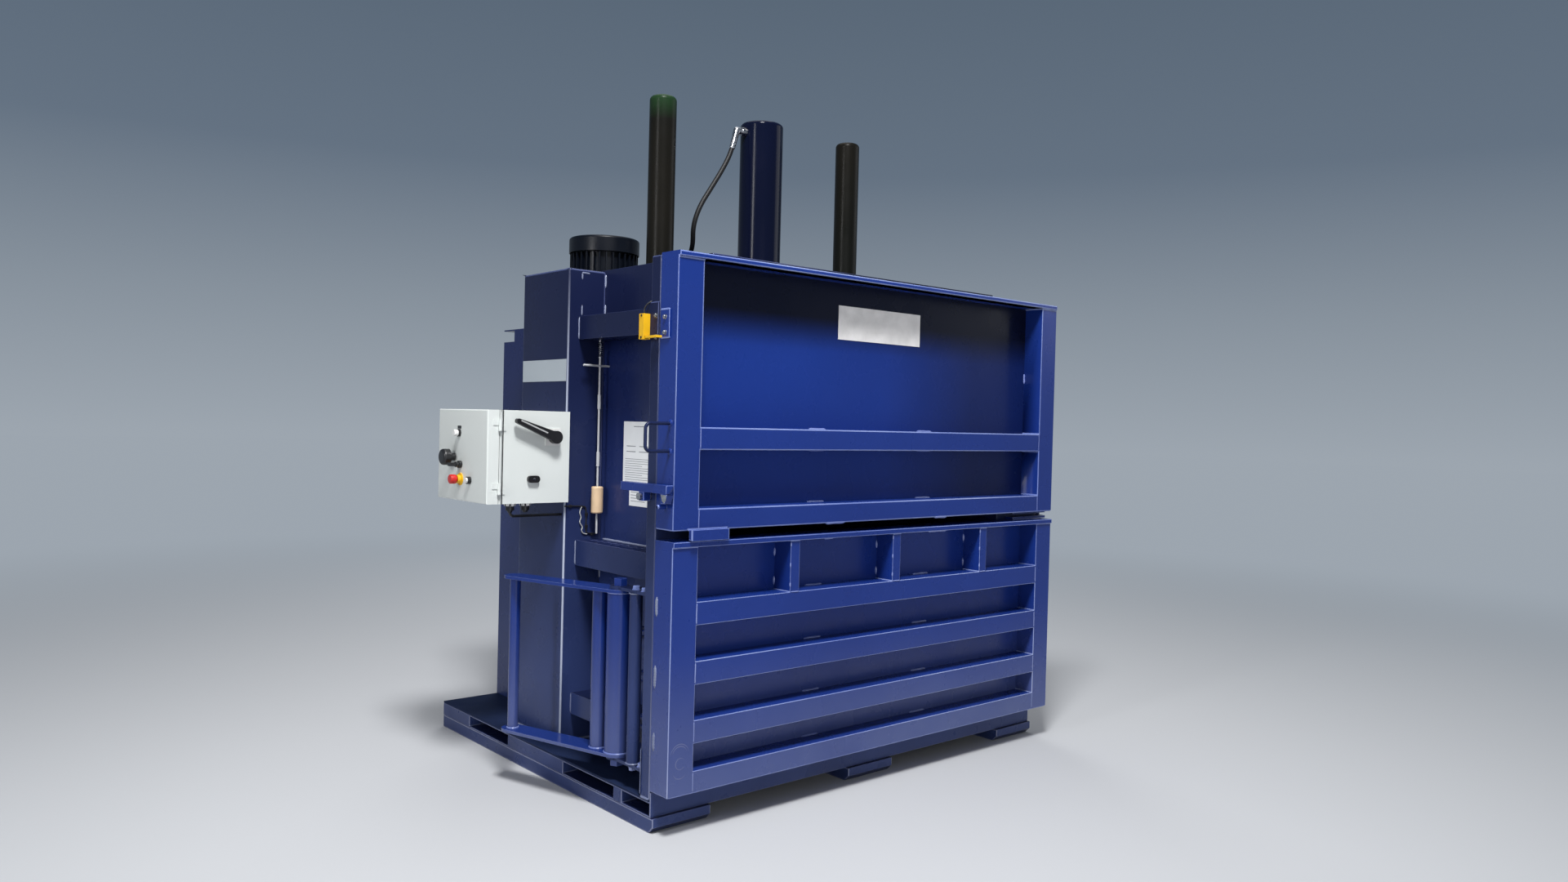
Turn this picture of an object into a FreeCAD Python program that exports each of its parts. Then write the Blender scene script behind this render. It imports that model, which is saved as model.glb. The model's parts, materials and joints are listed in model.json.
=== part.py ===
import FreeCAD, Part
import math
import os

# Vertical recycling baler, in millimetres.
# +X runs to the right along the front, +Y into the machine, +Z up.
# X is 0 in the middle of the width and Z is 0 on the floor. The sizes along Y count from the
# doors' front faces, and each piece is written with Y = 0 in the middle of the runners' length.

V = FreeCAD.Vector

# ---------------------------------------------------------------- driving sizes
# base
skid_height = 54.0
skid_width = 258.0
skid_front = 85.0
skid_nose_chamfer = 22.0
base_depth_end = 1815.0
base_frame_height = 56.0
base_steel = 6.0
front_sill_front = 100.0
front_sill_depth = 185.0
front_sill_rise = 27.0
fork_pocket_length = 380.0
fork_pocket_front = 335.0
fork_pocket_pitch = 831.0
edge_flange = 60.0
platform_thickness = 8.0
floor_bar_height = 24.0
floor_bar_count = 6
strap_gap = 46.0

# doors
door_width = 2190.0
door_depth = 105.0
door_floor_clearance = 31.0
lower_door_height = 889.0
door_gap = 38.0
upper_door_height = 971.0
stile_width = 110.0
cover_offset = 66.0
cover_length = 168.0
cover_depth = 20.0
skin_thickness = 10.0
top_flange_thickness = 20.0
top_flange_lip = 6.0
upper_mid_rail_rise = 282.0
upper_mid_rail_height = 81.0
upper_bottom_rail_height = 77.0
lower_rail_height = 83.0
lower_bottom_rail_height = 77.0
lower_rail_rises = (174.0, 382.0, 592.0)
post_width = 46.0
post_steel = 8.0
post_pitch = 560.0
post_offset = 34.0
post_count = 3
handle_y = 30.0
handle_rise = 373.0
handle_height = 96.0
handle_reach = 103.0
handle_bend = 20.0
handle_diameter = 12.0
name_plate_length = 484.0
name_plate_rise = 726.0
name_plate_height = 136.0
name_plate_thickness = 2.0

# front frame and chamber
door_running_gap = 3.0
frame_depth = 57.0
frame_steel = 8.0
lintel_bottom = 1882.0
frame_top = 2040.0
chamber_half_width = 825.0
wall_steel = 6.0
rear_post_depth = 104.0
rear_post_width = 90.0
rear_post_count = 4
rear_post_top = 1818.0
roof_level = 1870.0
rail_steel = 6.0
top_rail_height = 96.0
top_rail_depth = 124.0
mid_rail_bottom = 850.0
mid_rail_height = 105.0
mid_rail_depth = 120.0
rail_slot_count = 14
rail_slot_size = 12.0
low_rail_bottom = 232.0
low_rail_height = 88.0
low_rail_depth = 126.0

# press columns and bridge
column_front = 905.0
column_width = 387.0
column_depth = 175.0
column_steel = 8.0
column_top = 2078.0
bridge_height = 209.0
bridge_plate = 10.0
beam_height = 200.0
beam_flange = 80.0
beam_steel = 12.0
press_centre_y = 898.0

# hydraulic cylinder and guides
barrel_diameter = 200.0
barrel_wall = 18.0
gland_rise = 41.0
piston_head_room = 17.0
barrel_cap_thickness = 28.0
barrel_edge_round = 16.0
barrel_beam_clearance = 10.0
gland_thickness = 24.0
cylinder_flange_size = 400.0
cylinder_flange_thickness = 30.0
flange_bolt_diameter = 30.0
flange_bolt_spacing = 330.0
rod_diameter = 100.0
piston_length = 80.0
running_clearance = 0.06
press_stroke = 800.0
port_height_below_top = 52.0
port_reach = 50.0
port_drop = 64.0
port_elbow_drop = 34.0
port_tilt = 16.0
port_diameter = 30.0
guide_diameter = 118.0
guide_wall = 10.0
guide_spacing = 1120.0
guide_top_rise = 14.0
guide_end_round = 20.0
sleeve_wall = 20.0
sleeve_height = 200.0

# platen
platen_underside = 1652.0
platen_bar_height = 28.0
platen_plate_thickness = 20.0
platen_rib_height = 140.0
platen_rib_steel = 12.0
platen_side_clearance = 9.0
platen_front_clearance = 15.0

# power pack
tank_front = 1150.0
tank_left = -800.0
tank_length = 470.0
tank_width = 440.0
tank_height = 80.0
tank_steel = 5.0
tank_lid_thickness = 8.0
motor_x = -574.0
motor_y = 1330.0
motor_diameter = 322.0
motor_core_diameter = 276.0
motor_fin_count = 32
motor_fin_thickness = 6.0
motor_flange_thickness = 16.0
motor_body_height = 248.0
fan_cover_height = 63.0
fan_cover_steel = 3.0
fan_cover_round = 12.0
shaft_diameter = 38.0
pump_floor_gap = 12.0
valve_height = 66.0
pump_socket_depth = 18.0

# hinges of both doors, on one line
hinge_offset_x = 35.0
hinge_setback = 15.0
hinge_lug_thickness = 12.0
hinge_lug_radius = 24.0
hinge_pin_diameter = 26.0
upper_hinge_rise = 720.0
lower_hinge_heights = (600.0, 240.0)
hinge_strap_length = 215.0

# door lock with its long lever
lock_x = -1060.0
lock_y = 377.0
lock_bottom = 209.0
lock_top = 830.0
lock_arm_thickness = 12.0
lock_column_diameter = 96.0
lock_column_wall = 6.0
lock_pin_diameter = 30.0
lock_nut_height = 26.0
lock_bracket_width = 78.0
lock_arm_root = 52.0
lock_arm_tip = 44.0
lock_lever_angle = 107.0
lock_handle_reach = 541.0
lock_handle_diameter = 42.0
lock_stay_reach = 97.0
lock_stay_diameter = 57.0
lock_post_x = -1071.0
lock_post_y = 253.0
lock_post_diameter = 48.0
lock_hook_heights = (350.0, 515.0, 680.0)
lock_hook_thickness = 16.0
lock_hook_width = 26.0
keeper_reach = 165.0
keeper_setback = 18.0
keeper_clearance = 3.0
keeper_plate = 10.0
keeper_slot_width = 68.0
keeper_slot_height = 60.0
keeper_x = -1015.0
keeper_pin_diameter = 24.0
lock_release_angle = 10.0
lock_finger_angle = 25.0
lock_finger_depth = 14.0

# upper door latch
latch_pivot_y = 150.0
latch_pivot_rise = 30.0
latch_pin_diameter = 16.0
latch_bar_front = -4.0
latch_bar_rear = 282.0
latch_bar_height = 30.0
latch_bar_width = 30.0
latch_bar_steel = 5.0
latch_stud_y = 42.0
latch_stud_rise = 84.0
latch_stud_diameter = 16.0

# safety switch
switch_y = 160.0
switch_width = 28.0
switch_height = 91.0
switch_depth = 28.0
switch_bottom = 1744.0
switch_bracket_steel = 6.0
switch_bracket_height = 126.0
switch_bracket_overhang = 20.0
key_plate_width = 58.0
key_plate_height = 106.0
key_setback = 6.0
key_thickness = 8.0
key_travel = 15.0

# electric box
box_front = 875.0
box_length = 445.0
box_depth = 310.0
box_bottom = 1115.0
box_height = 370.0
box_steel = 2.0
box_lid_depth = 50.0
box_lid_gap = 2.0
box_edge_round = 6.0
conduit_drop = 24.0
conduit_bend = 18.0
conduit_diameter = 11.0

# hanging pull rod
pull_offset = 45.0
pull_y = 864.0
pull_rod_diameter = 9.0
pull_handle_diameter = 49.0
pull_handle_top = 1178.0
pull_handle_length = 112.0
pull_tail = 84.0
pull_bar_reach = 78.0
pull_knot_drops = (180.0, 418.0)
pull_knot_length = 60.0
plate_low = 1612.0
plate_height = 91.0
sheet_front = 516.0
sheet_length = 224.0
sheet_low = 1184.0
sheet_height = 268.0
card_front = 560.0
card_length = 130.0
card_low = 1110.0
card_height = 72.0
sheet_thickness = 1.0

# ---------------------------------------------------------------- derived places
runner_middle = (skid_front + base_depth_end) / 2.0
half_width = door_width / 2.0
chamber_rear = base_depth_end - rear_post_depth - wall_steel
frame_bottom = skid_height + base_frame_height
floor_level = frame_bottom + platform_thickness
lower_bottom = floor_level + door_floor_clearance
lower_top = lower_bottom + lower_door_height
upper_bottom = lower_top + door_gap
upper_top = upper_bottom + upper_door_height
frame_front = door_depth + door_running_gap
frame_back = frame_front + frame_depth
inner_half = chamber_half_width - wall_steel
column_outer = chamber_half_width + column_depth
column_back = column_front + column_width
roof_top = roof_level + wall_steel
bridge_top = roof_top + bridge_height
beam_top = roof_top + beam_height
hinge_x = half_width + hinge_offset_x
hinge_y = door_depth + hinge_setback
upper_hinge_height = upper_bottom + upper_hinge_rise
latch_stud_z = upper_bottom + latch_stud_rise
latch_pivot_z = latch_stud_z + latch_pivot_rise
platen_top = platen_underside + platen_bar_height + platen_plate_thickness + platen_rib_height
barrel_bottom = platen_top + gland_rise + gland_thickness
piston_top = barrel_bottom + gland_thickness + press_stroke + piston_length
barrel_top = piston_top + piston_head_room + barrel_cap_thickness
guide_top = barrel_top + guide_top_rise
tank_top = roof_top + tank_height
lid_top = tank_top + tank_lid_thickness
pump_top = tank_top
fitting_z = lid_top + valve_height / 2.0
box_back_x = -column_outer
box_front_x = box_back_x - box_depth
lid_inner_x = box_front_x - box_lid_gap
lid_outer_x = lid_inner_x - box_lid_depth
pull_x = -(chamber_half_width + pull_offset)
keeper_pin_y = door_depth + keeper_reach - keeper_setback


# ---------------------------------------------------------------- helpers
def block(x0, x1, y0, y1, z0, z1):
    """A rectangular block between three pairs of planes."""
    low = V(min(x0, x1), min(y0, y1), min(z0, z1))
    return Part.makeBox(abs(x1 - x0), abs(y1 - y0), abs(z1 - z0), low)


def mirrored(shape):
    """The same shape on the other side of the machine's middle plane."""
    return shape.mirror(V(0, 0, 0), V(1, 0, 0))


def rod(x, y, z0, z1, diameter):
    """An upright round bar."""
    return Part.makeCylinder(diameter / 2.0, z1 - z0, V(x, y, z0), V(0, 0, 1))


def pipe(x, y, z0, z1, outer, inner):
    """An upright tube."""
    return rod(x, y, z0, z1, outer).cut(rod(x, y, z0 - 1.0, z1 + 1.0, inner))


def bar_x(x0, x1, y, z, diameter):
    """A round bar along X."""
    return Part.makeCylinder(diameter / 2.0, abs(x1 - x0), V(min(x0, x1), y, z), V(1, 0, 0))


def bar_y(y0, y1, x, z, diameter):
    """A round bar along Y."""
    return Part.makeCylinder(diameter / 2.0, abs(y1 - y0), V(x, min(y0, y1), z), V(0, 1, 0))


def plate_from_outline(points, z0, thickness):
    """A flat plate with straight edges, cut from an outline in plan."""
    corners = [V(x, y, z0) for x, y in points]
    outline = Part.makePolygon(corners + [corners[0]])
    return Part.Face(outline).extrude(V(0, 0, thickness))


def tapered_arm(x0, y0, r0, x1, y1, r1, z0, thickness):
    """A flat arm with a round end at each of two centres, its sides tangent to both."""
    length = math.hypot(x1 - x0, y1 - y0)
    heading = math.atan2(y1 - y0, x1 - x0)
    lean = math.acos((r0 - r1) / length)

    def at(x, y, radius, angle):
        return V(x + radius * math.cos(angle), y + radius * math.sin(angle), z0)

    root_left = at(x0, y0, r0, heading + lean)
    root_back = at(x0, y0, r0, heading + math.pi)
    root_right = at(x0, y0, r0, heading - lean)
    tip_left = at(x1, y1, r1, heading + lean)
    tip_front = at(x1, y1, r1, heading)
    tip_right = at(x1, y1, r1, heading - lean)
    edges = [
        Part.Arc(root_left, root_back, root_right).toShape(),
        Part.makeLine(root_right, tip_right),
        Part.Arc(tip_right, tip_front, tip_left).toShape(),
        Part.makeLine(tip_left, root_left),
    ]
    return Part.Face(Part.Wire(edges)).extrude(V(0, 0, thickness))


def fused(shapes):
    """One solid from shapes that touch or overlap."""
    whole = shapes[0].multiFuse(shapes[1:]) if len(shapes) > 1 else shapes[0]
    return whole.removeSplitter()


def cut_all(shape, tools):
    """The shape with every tool cut out of it."""
    return shape.cut(tools) if tools else shape


def group(shapes):
    """Separate solids that belong to one node."""
    return Part.makeCompound(shapes)


def bent_bar(points, bend, diameter):
    """A round bar bent with one inner radius at each corner of its centre line."""
    places = [V(*point) for point in points]
    edges = []
    start = places[0]
    for before, corner, after in zip(places, places[1:], places[2:]):
        inward = (corner - before).normalize()
        outward = (after - corner).normalize()
        turn = inward.getAngle(outward)
        setback = bend * math.tan(turn / 2.0)
        first = corner - inward * setback
        last = corner + outward * setback
        toward = (outward - inward).normalize()
        middle = corner + toward * (bend / math.cos(turn / 2.0) - bend)
        edges.append(Part.LineSegment(start, first).toShape())
        edges.append(Part.Arc(first, middle, last).toShape())
        start = last
    edges.append(Part.LineSegment(start, places[-1]).toShape())
    path = Part.Wire(edges)
    heading = (places[1] - places[0]).normalize()
    ring = Part.Wire([Part.makeCircle(diameter / 2.0, places[0], heading)])
    return path.makePipeShell([ring], True, False)


def write(node, shape):
    """One STEP file for one node, moved to the middle of the runners' length."""
    shape.translate(V(0, -runner_middle, 0))
    shape.exportStep("parts/" + node + ".step")


# ---------------------------------------------------------------- base
def make_skids():
    """Three box runners on the floor, their noses bevelled below."""
    centres = (-half_width + skid_width / 2.0, 0.0, half_width - skid_width / 2.0)
    skids = []
    for centre in centres:
        skid = block(centre - skid_width / 2.0, centre + skid_width / 2.0,
                     skid_front, base_depth_end, 0.0, skid_height)
        nose = Part.makePolygon([
            V(centre - skid_width, skid_front, 0.0),
            V(centre - skid_width, skid_front + skid_nose_chamfer, 0.0),
            V(centre - skid_width, skid_front, skid_nose_chamfer),
            V(centre - skid_width, skid_front, 0.0),
        ])
        wedge = Part.Face(nose).extrude(V(2.0 * skid_width, 0, 0))
        skids.append(skid.cut(wedge))
    return group(skids)


def pocket_front(index):
    """The Y where a fork pocket begins."""
    return fork_pocket_front + index * fork_pocket_pitch


def make_base_frame():
    """Sills, edge channels and two through pockets for a fork truck, welded as one frame."""
    z0 = skid_height
    z1 = frame_bottom
    sill_back = front_sill_front + front_sill_depth
    sill_web = block(-half_width, half_width, front_sill_front,
                     front_sill_front + base_steel, z0, floor_level + front_sill_rise)
    sill_foot = block(-half_width, half_width, front_sill_front, sill_back, z0, z0 + base_steel)
    sill_head = block(-half_width, half_width, front_sill_front, sill_back, z1 - base_steel, z1)
    sill_bar = block(-half_width, half_width, sill_back, pocket_front(0), z0, z1)
    edges = []
    for side in (-1.0, 1.0):
        outer = side * half_width
        web_inner = side * (half_width - base_steel)
        flange_inner = side * (half_width - edge_flange)
        web = block(outer, web_inner, sill_back, base_depth_end, z0, z1)
        foot = block(outer, flange_inner, sill_back, base_depth_end, z0, z0 + base_steel)
        head = block(outer, flange_inner, sill_back, base_depth_end, z1 - base_steel, z1)
        edges += [web, foot, head]
    rear = block(-half_width, half_width, base_depth_end - base_steel, base_depth_end, z0, z1)
    frame = fused([sill_web, sill_foot, sill_head, sill_bar, rear] + edges)
    for index in (0, 1):
        y0 = pocket_front(index)
        y1 = y0 + fork_pocket_length
        sleeve = block(-half_width, half_width, y0, y1, z0, z1)
        frame = frame.fuse(sleeve)
        bore = block(-half_width - 1.0, half_width + 1.0, y0 + base_steel, y1 - base_steel,
                     z0 + base_steel, z1 - base_steel)
        frame = frame.cut(bore)
    return frame.removeSplitter()


def make_platform_plate():
    """The plate that covers the base from the front sill to the rear edge."""
    return block(-half_width, half_width, front_sill_front + base_steel, base_depth_end,
                 frame_bottom, floor_level)


def bar_strips(y0, y1, z0, z1, half_span):
    """Strips along Y with strap gaps between them."""
    pitch = (2.0 * half_span + strap_gap) / floor_bar_count
    width = pitch - strap_gap
    strips = []
    for index in range(floor_bar_count):
        x0 = -half_span + index * pitch
        strips.append(block(x0, x0 + width, y0, y1, z0, z1))
    return strips


def make_floor_bars():
    """Raised floor strips; baling strap runs in the gaps."""
    return group(bar_strips(frame_front, chamber_rear, floor_level,
                            floor_level + floor_bar_height, inner_half))


# ---------------------------------------------------------------- chamber and frame
def channel_upright(x0, x1, y0, y1, z0, z1, steel):
    """An upright channel whose web is its front face."""
    body = block(x0, x1, y0, y1, z0, z1)
    hollow = block(min(x0, x1) + steel, max(x0, x1) - steel, y0 + steel, y1 + 1.0,
                   z0 - 1.0, z1 + 1.0)
    return body.cut(hollow)


def keeper_slots():
    """Slots in the left upright for the lock keepers of the lower door."""
    slots = []
    for height in lock_hook_heights:
        slots.append(block(keeper_x - keeper_slot_width / 2.0,
                           keeper_x + keeper_slot_width / 2.0, frame_front - 1.0,
                           frame_front + frame_steel + 1.0,
                           height - keeper_slot_height / 2.0,
                           height + keeper_slot_height / 2.0))
    return slots


def make_front_frame():
    """The doorway: two channel uprights and the lintel between them."""
    right = channel_upright(chamber_half_width, half_width, frame_front, frame_back,
                            floor_level, frame_top, frame_steel)
    left = mirrored(right).cut(keeper_slots())
    lintel = block(-chamber_half_width, chamber_half_width, frame_front, frame_back,
                   lintel_bottom, frame_top)
    hollow = block(-chamber_half_width - 1.0, chamber_half_width + 1.0, frame_front + frame_steel,
                   frame_back + 1.0, lintel_bottom + frame_steel, frame_top - frame_steel)
    return group([left, right, lintel.cut(hollow), make_switch_bracket()])


def make_switch_bracket():
    """Flat bracket on the frame's left side that carries the safety switch."""
    return block(-half_width - switch_bracket_steel, -half_width, frame_front + 2.0,
                 frame_back + switch_bracket_overhang, switch_bottom + 8.0,
                 switch_bottom + 8.0 + switch_bracket_height)


def make_chamber_walls():
    """Side and rear walls, the rear posts and the roof with its three openings."""
    right = block(inner_half, chamber_half_width, frame_front, chamber_rear,
                  floor_level, roof_level)
    left = mirrored(right)
    rear = block(-chamber_half_width, chamber_half_width, chamber_rear,
                 chamber_rear + wall_steel, floor_level, roof_level)
    roof = block(-chamber_half_width, chamber_half_width, frame_front, base_depth_end,
                 roof_level, roof_top)
    holes = [rod(0.0, press_centre_y, roof_level - 1.0, roof_top + 1.0, barrel_diameter + 20.0)]
    for x in (-guide_spacing / 2.0, guide_spacing / 2.0):
        holes.append(rod(x, press_centre_y, roof_level - 1.0, roof_top + 1.0,
                         guide_diameter + 10.0))
    return group([left, right, rear, cut_all(roof, holes)] + make_rear_posts())


def make_rear_posts():
    """Folded uprights behind the rear wall, each open towards it."""
    pieces = []
    rear_front = chamber_rear + wall_steel
    rear_back = rear_front + rear_post_depth
    spread = (2.0 * chamber_half_width - rear_post_width) / (rear_post_count - 1.0)
    for index in range(rear_post_count):
        x0 = -chamber_half_width + index * spread
        post = block(x0, x0 + rear_post_width, rear_front, rear_back, floor_level, rear_post_top)
        hollow = block(x0 + wall_steel, x0 + rear_post_width - wall_steel, rear_front - 1.0,
                       rear_back - wall_steel, floor_level - 1.0, rear_post_top + 1.0)
        pieces.append(post.cut(hollow))
    return pieces


def side_channel(depth, z0, z1):
    """A channel along the right wall, open towards the wall."""
    outer = chamber_half_width + depth
    body = block(chamber_half_width, outer, frame_back, column_front, z0, z1)
    hollow = block(chamber_half_width - 1.0, outer - rail_steel, frame_back - 1.0,
                   column_front + 1.0, z0 + rail_steel, z1 - rail_steel)
    return body.cut(hollow)


def make_side_rails():
    """Three channels along each side wall; the middle one has a row of slots on top."""
    top = side_channel(top_rail_depth, lintel_bottom - top_rail_height, lintel_bottom)
    middle = side_channel(mid_rail_depth, mid_rail_bottom, mid_rail_bottom + mid_rail_height)
    low = side_channel(low_rail_depth, low_rail_bottom, low_rail_bottom + low_rail_height)
    run = column_front - frame_back
    pitch = run / (rail_slot_count + 1.0)
    slot_x = chamber_half_width + mid_rail_depth / 2.0
    slot_z = mid_rail_bottom + mid_rail_height
    slots = []
    for index in range(rail_slot_count):
        y = frame_back + (index + 1.0) * pitch
        slots.append(block(slot_x - rail_slot_size, slot_x + rail_slot_size,
                           y - rail_slot_size / 2.0, y + rail_slot_size / 2.0,
                           slot_z - rail_steel - 1.0, slot_z + 1.0))
    middle = middle.cut(slots)
    rails = [top, middle, low]
    return group(rails + [mirrored(rail) for rail in rails])


def make_press_columns():
    """The two deep box columns that carry the press bridge."""
    body = block(chamber_half_width, column_outer, column_front, column_back,
                 floor_level, column_top)
    uprights = [edge for edge in body.Edges
                if abs(edge.Vertexes[0].Z - edge.Vertexes[1].Z) > 1.0
                and edge.Vertexes[0].X > column_outer - 1.0]
    body = body.makeFillet(column_steel, uprights)
    hollow = block(chamber_half_width + column_steel, column_outer - column_steel,
                   column_front + column_steel, column_back - column_steel,
                   floor_level - 1.0, column_top - column_steel)
    column = body.cut(hollow)
    return group([mirrored(column), column])


def channel_beam(web_y, reach):
    """A channel along X whose web stands at web_y and whose flanges reach to web_y + reach."""
    side = 1.0 if reach > 0.0 else -1.0
    half = chamber_half_width - bridge_plate
    web = block(-half, half, web_y, web_y + side * beam_steel, roof_top, beam_top)
    foot = block(-half, half, web_y, web_y + reach, roof_top, roof_top + beam_steel)
    head = block(-half, half, web_y, web_y + reach, beam_top - beam_steel, beam_top)
    return fused([web, foot, head])


def make_bridge():
    """Side plates, front plate and the two beams that hold the cylinder."""
    right = block(chamber_half_width - bridge_plate, chamber_half_width, frame_back,
                  column_back, roof_top, bridge_top)
    front = block(-chamber_half_width + bridge_plate, chamber_half_width - bridge_plate,
                  frame_back, frame_back + bridge_plate, roof_top, bridge_top)
    offset = barrel_diameter / 2.0 + barrel_beam_clearance
    near = channel_beam(press_centre_y - offset, -beam_flange)
    far = channel_beam(press_centre_y + offset, beam_flange)
    return group([mirrored(right), right, front, near, far])


# ---------------------------------------------------------------- press
def make_guide_sleeves():
    """Two flanged bush sleeves in which the guide tubes slide."""
    sleeves = []
    bore = guide_diameter + 2.0 * running_clearance
    for x in (-guide_spacing / 2.0, guide_spacing / 2.0):
        body = rod(x, press_centre_y, roof_top, roof_top + sleeve_height,
                   guide_diameter + 2.0 * sleeve_wall)
        foot = rod(x, press_centre_y, roof_top, roof_top + beam_steel,
                   guide_diameter + 4.0 * sleeve_wall)
        whole = body.fuse(foot)
        sleeves.append(whole.cut(rod(x, press_centre_y, roof_top - 1.0,
                                     roof_top + sleeve_height + 1.0, bore)))
    return group(sleeves)


def make_cylinder_barrel():
    """Closed-top barrel with its square mounting flange."""
    cap_z = barrel_top - barrel_cap_thickness
    outer = rod(0.0, press_centre_y, barrel_bottom, barrel_top, barrel_diameter)
    rim = [edge for edge in outer.Edges if abs(edge.BoundBox.ZMin - barrel_top) < 0.01
           and abs(edge.BoundBox.ZMax - barrel_top) < 0.01]
    outer = outer.makeFillet(barrel_edge_round, rim)
    half = cylinder_flange_size / 2.0
    flange = block(-half, half, press_centre_y - half, press_centre_y + half,
                   beam_top, beam_top + cylinder_flange_thickness)
    bore = rod(0.0, press_centre_y, barrel_bottom - 1.0, cap_z,
               barrel_diameter - 2.0 * barrel_wall)
    holes = []
    for dx, dy in flange_bolt_places():
        holes.append(rod(dx, dy, beam_top - 1.0, beam_top + cylinder_flange_thickness + 1.0,
                         flange_bolt_diameter))
    return outer.fuse(flange).cut([bore] + holes)


def flange_bolt_places():
    """Centres of the four bolts that hold the cylinder on its beams."""
    half_x = flange_bolt_spacing / 2.0
    half_y = barrel_diameter / 2.0 + barrel_beam_clearance + beam_flange / 2.0
    places = []
    for sx in (-1.0, 1.0):
        for sy in (-1.0, 1.0):
            places.append((sx * half_x, press_centre_y + sy * half_y))
    return places


def hexagon(x, y, z0, height, across_flats):
    """A hexagonal head or nut."""
    radius = across_flats / math.sqrt(3.0)
    corners = []
    for index in range(6):
        angle = math.radians(60.0 * index)
        corners.append((x + radius * math.cos(angle), y + radius * math.sin(angle)))
    return plate_from_outline(corners, z0, height)


def make_flange_bolts():
    """Four bolt heads with short shanks in the cylinder's flange."""
    bolts = []
    z = beam_top + cylinder_flange_thickness
    for x, y in flange_bolt_places():
        head = hexagon(x, y, z, 18.0, flange_bolt_diameter * 1.55)
        shank = rod(x, y, beam_top, z, flange_bolt_diameter)
        bolts.append(head.fuse(shank))
    return group(bolts)


def make_cylinder_gland():
    """The head at the barrel's lower end, through which the rod passes."""
    ring = rod(0.0, press_centre_y, barrel_bottom - gland_thickness, barrel_bottom,
               barrel_diameter)
    spigot = rod(0.0, press_centre_y, barrel_bottom, barrel_bottom + gland_thickness,
                 barrel_diameter - 2.0 * barrel_wall)
    bore = rod(0.0, press_centre_y, barrel_bottom - gland_thickness - 1.0,
               barrel_bottom + gland_thickness + 1.0, rod_diameter + 2.0 * running_clearance)
    return ring.fuse(spigot).cut(bore)


def port_point(along):
    """A place on the elbow's tilted outlet, at a distance from its corner."""
    tilt = math.radians(port_tilt)
    corner_x = -barrel_diameter / 2.0 - port_reach
    corner_z = barrel_top - port_height_below_top
    return V(corner_x - along * math.sin(tilt), press_centre_y,
             corner_z - along * math.cos(tilt))


def make_port_elbow():
    """Steel elbow fitting at the top of the barrel, its outlet pointing down and outwards."""
    corner = port_point(0.0)
    down = port_point(1.0) - corner
    wall_x = -barrel_diameter / 2.0
    neck = bar_x(corner.x, wall_x, corner.y, corner.z, port_diameter)
    nut = bar_x(wall_x - port_reach / 2.0, wall_x, corner.y, corner.z, port_diameter + 10.0)
    ball = Part.makeSphere(port_diameter / 2.0, corner)
    outlet = Part.makeCylinder(port_diameter / 2.0, port_elbow_drop, corner, down)
    ferrule = Part.makeCylinder(port_diameter / 2.0 - 1.0, port_drop, corner, down)
    return fused([neck, nut, ball, outlet, ferrule])


def make_piston_rod():
    """Rod with its piston, standing on the platen's centre."""
    foot = rod(0.0, press_centre_y, platen_top, platen_top + 16.0, rod_diameter * 1.3)
    shaft = rod(0.0, press_centre_y, platen_top, piston_top, rod_diameter)
    piston = rod(0.0, press_centre_y, piston_top - piston_length, piston_top,
                 barrel_diameter - 2.0 * barrel_wall - 2.0 * running_clearance)
    return fused([foot, shaft, piston])


def make_guide_tubes():
    """Two tubes on the platen that slide up through the sleeves, closed at the top."""
    tubes = []
    for x in (-guide_spacing / 2.0, guide_spacing / 2.0):
        outer = rod(x, press_centre_y, platen_top, guide_top, guide_diameter)
        rim = [edge for edge in outer.Edges if edge.BoundBox.ZMin > guide_top - 0.01]
        outer = outer.makeFillet(guide_end_round, rim)
        bore = rod(x, press_centre_y, platen_top - 1.0, guide_top - 2.0 * guide_wall,
                   guide_diameter - 2.0 * guide_wall)
        tubes.append(outer.cut(bore))
    return group(tubes)


def make_platen():
    """Press plate with strap gaps below and a grid of ribs above."""
    half = inner_half - platen_side_clearance
    y0 = door_depth + platen_front_clearance
    y1 = chamber_rear - platen_front_clearance
    plate_z = platen_underside + platen_bar_height
    rib_z = plate_z + platen_plate_thickness
    pieces = [block(-half, half, y0, y1, plate_z, rib_z)]
    pieces += bar_strips(y0, y1, platen_underside, plate_z, half)
    centre_half = rod_diameter
    for x in (-half, -guide_spacing / 2.0, -centre_half, centre_half,
              guide_spacing / 2.0, half - platen_rib_steel):
        pieces.append(block(x, x + platen_rib_steel, y0, y1, rib_z, platen_top))
    for y in (y0, press_centre_y - centre_half, press_centre_y + centre_half,
              y1 - platen_rib_steel):
        pieces.append(block(-half, half, y, y + platen_rib_steel, rib_z, platen_top))
    for x in (-guide_spacing / 2.0, 0.0, guide_spacing / 2.0):
        pieces.append(block(x - centre_half, x + centre_half + platen_rib_steel,
                            press_centre_y - centre_half,
                            press_centre_y + centre_half + platen_rib_steel,
                            platen_top - platen_plate_thickness, platen_top))
    return fused(pieces)


# ---------------------------------------------------------------- hose
hose_diameter = 22.0
hose_start = port_point(port_drop)
hose_second = port_point(port_drop + 50.0)
hose_y = press_centre_y
hose_route = [
    (hose_start.x, hose_y, hose_start.z),
    (hose_second.x, hose_y, hose_second.z),
    (-224.0, hose_y, 2614.0),
    (-290.0, hose_y, 2514.0),
    (-350.0, hose_y + 2.0, 2424.0),
    (-378.0, hose_y + 10.0, 2334.0),
    (-352.0, hose_y + 42.0, 2256.0),
    (-336.0, hose_y + 90.0, 2210.0),
    (-325.0, hose_y + 152.0, 2184.0),
    (-313.0, hose_y + 214.0, 2166.0),
    (-305.0, hose_y + 260.0, 2125.0),
    (-302.0, hose_y + 284.0, 2071.0),
    (-302.0, hose_y + 284.0, 2013.0),
]


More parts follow.
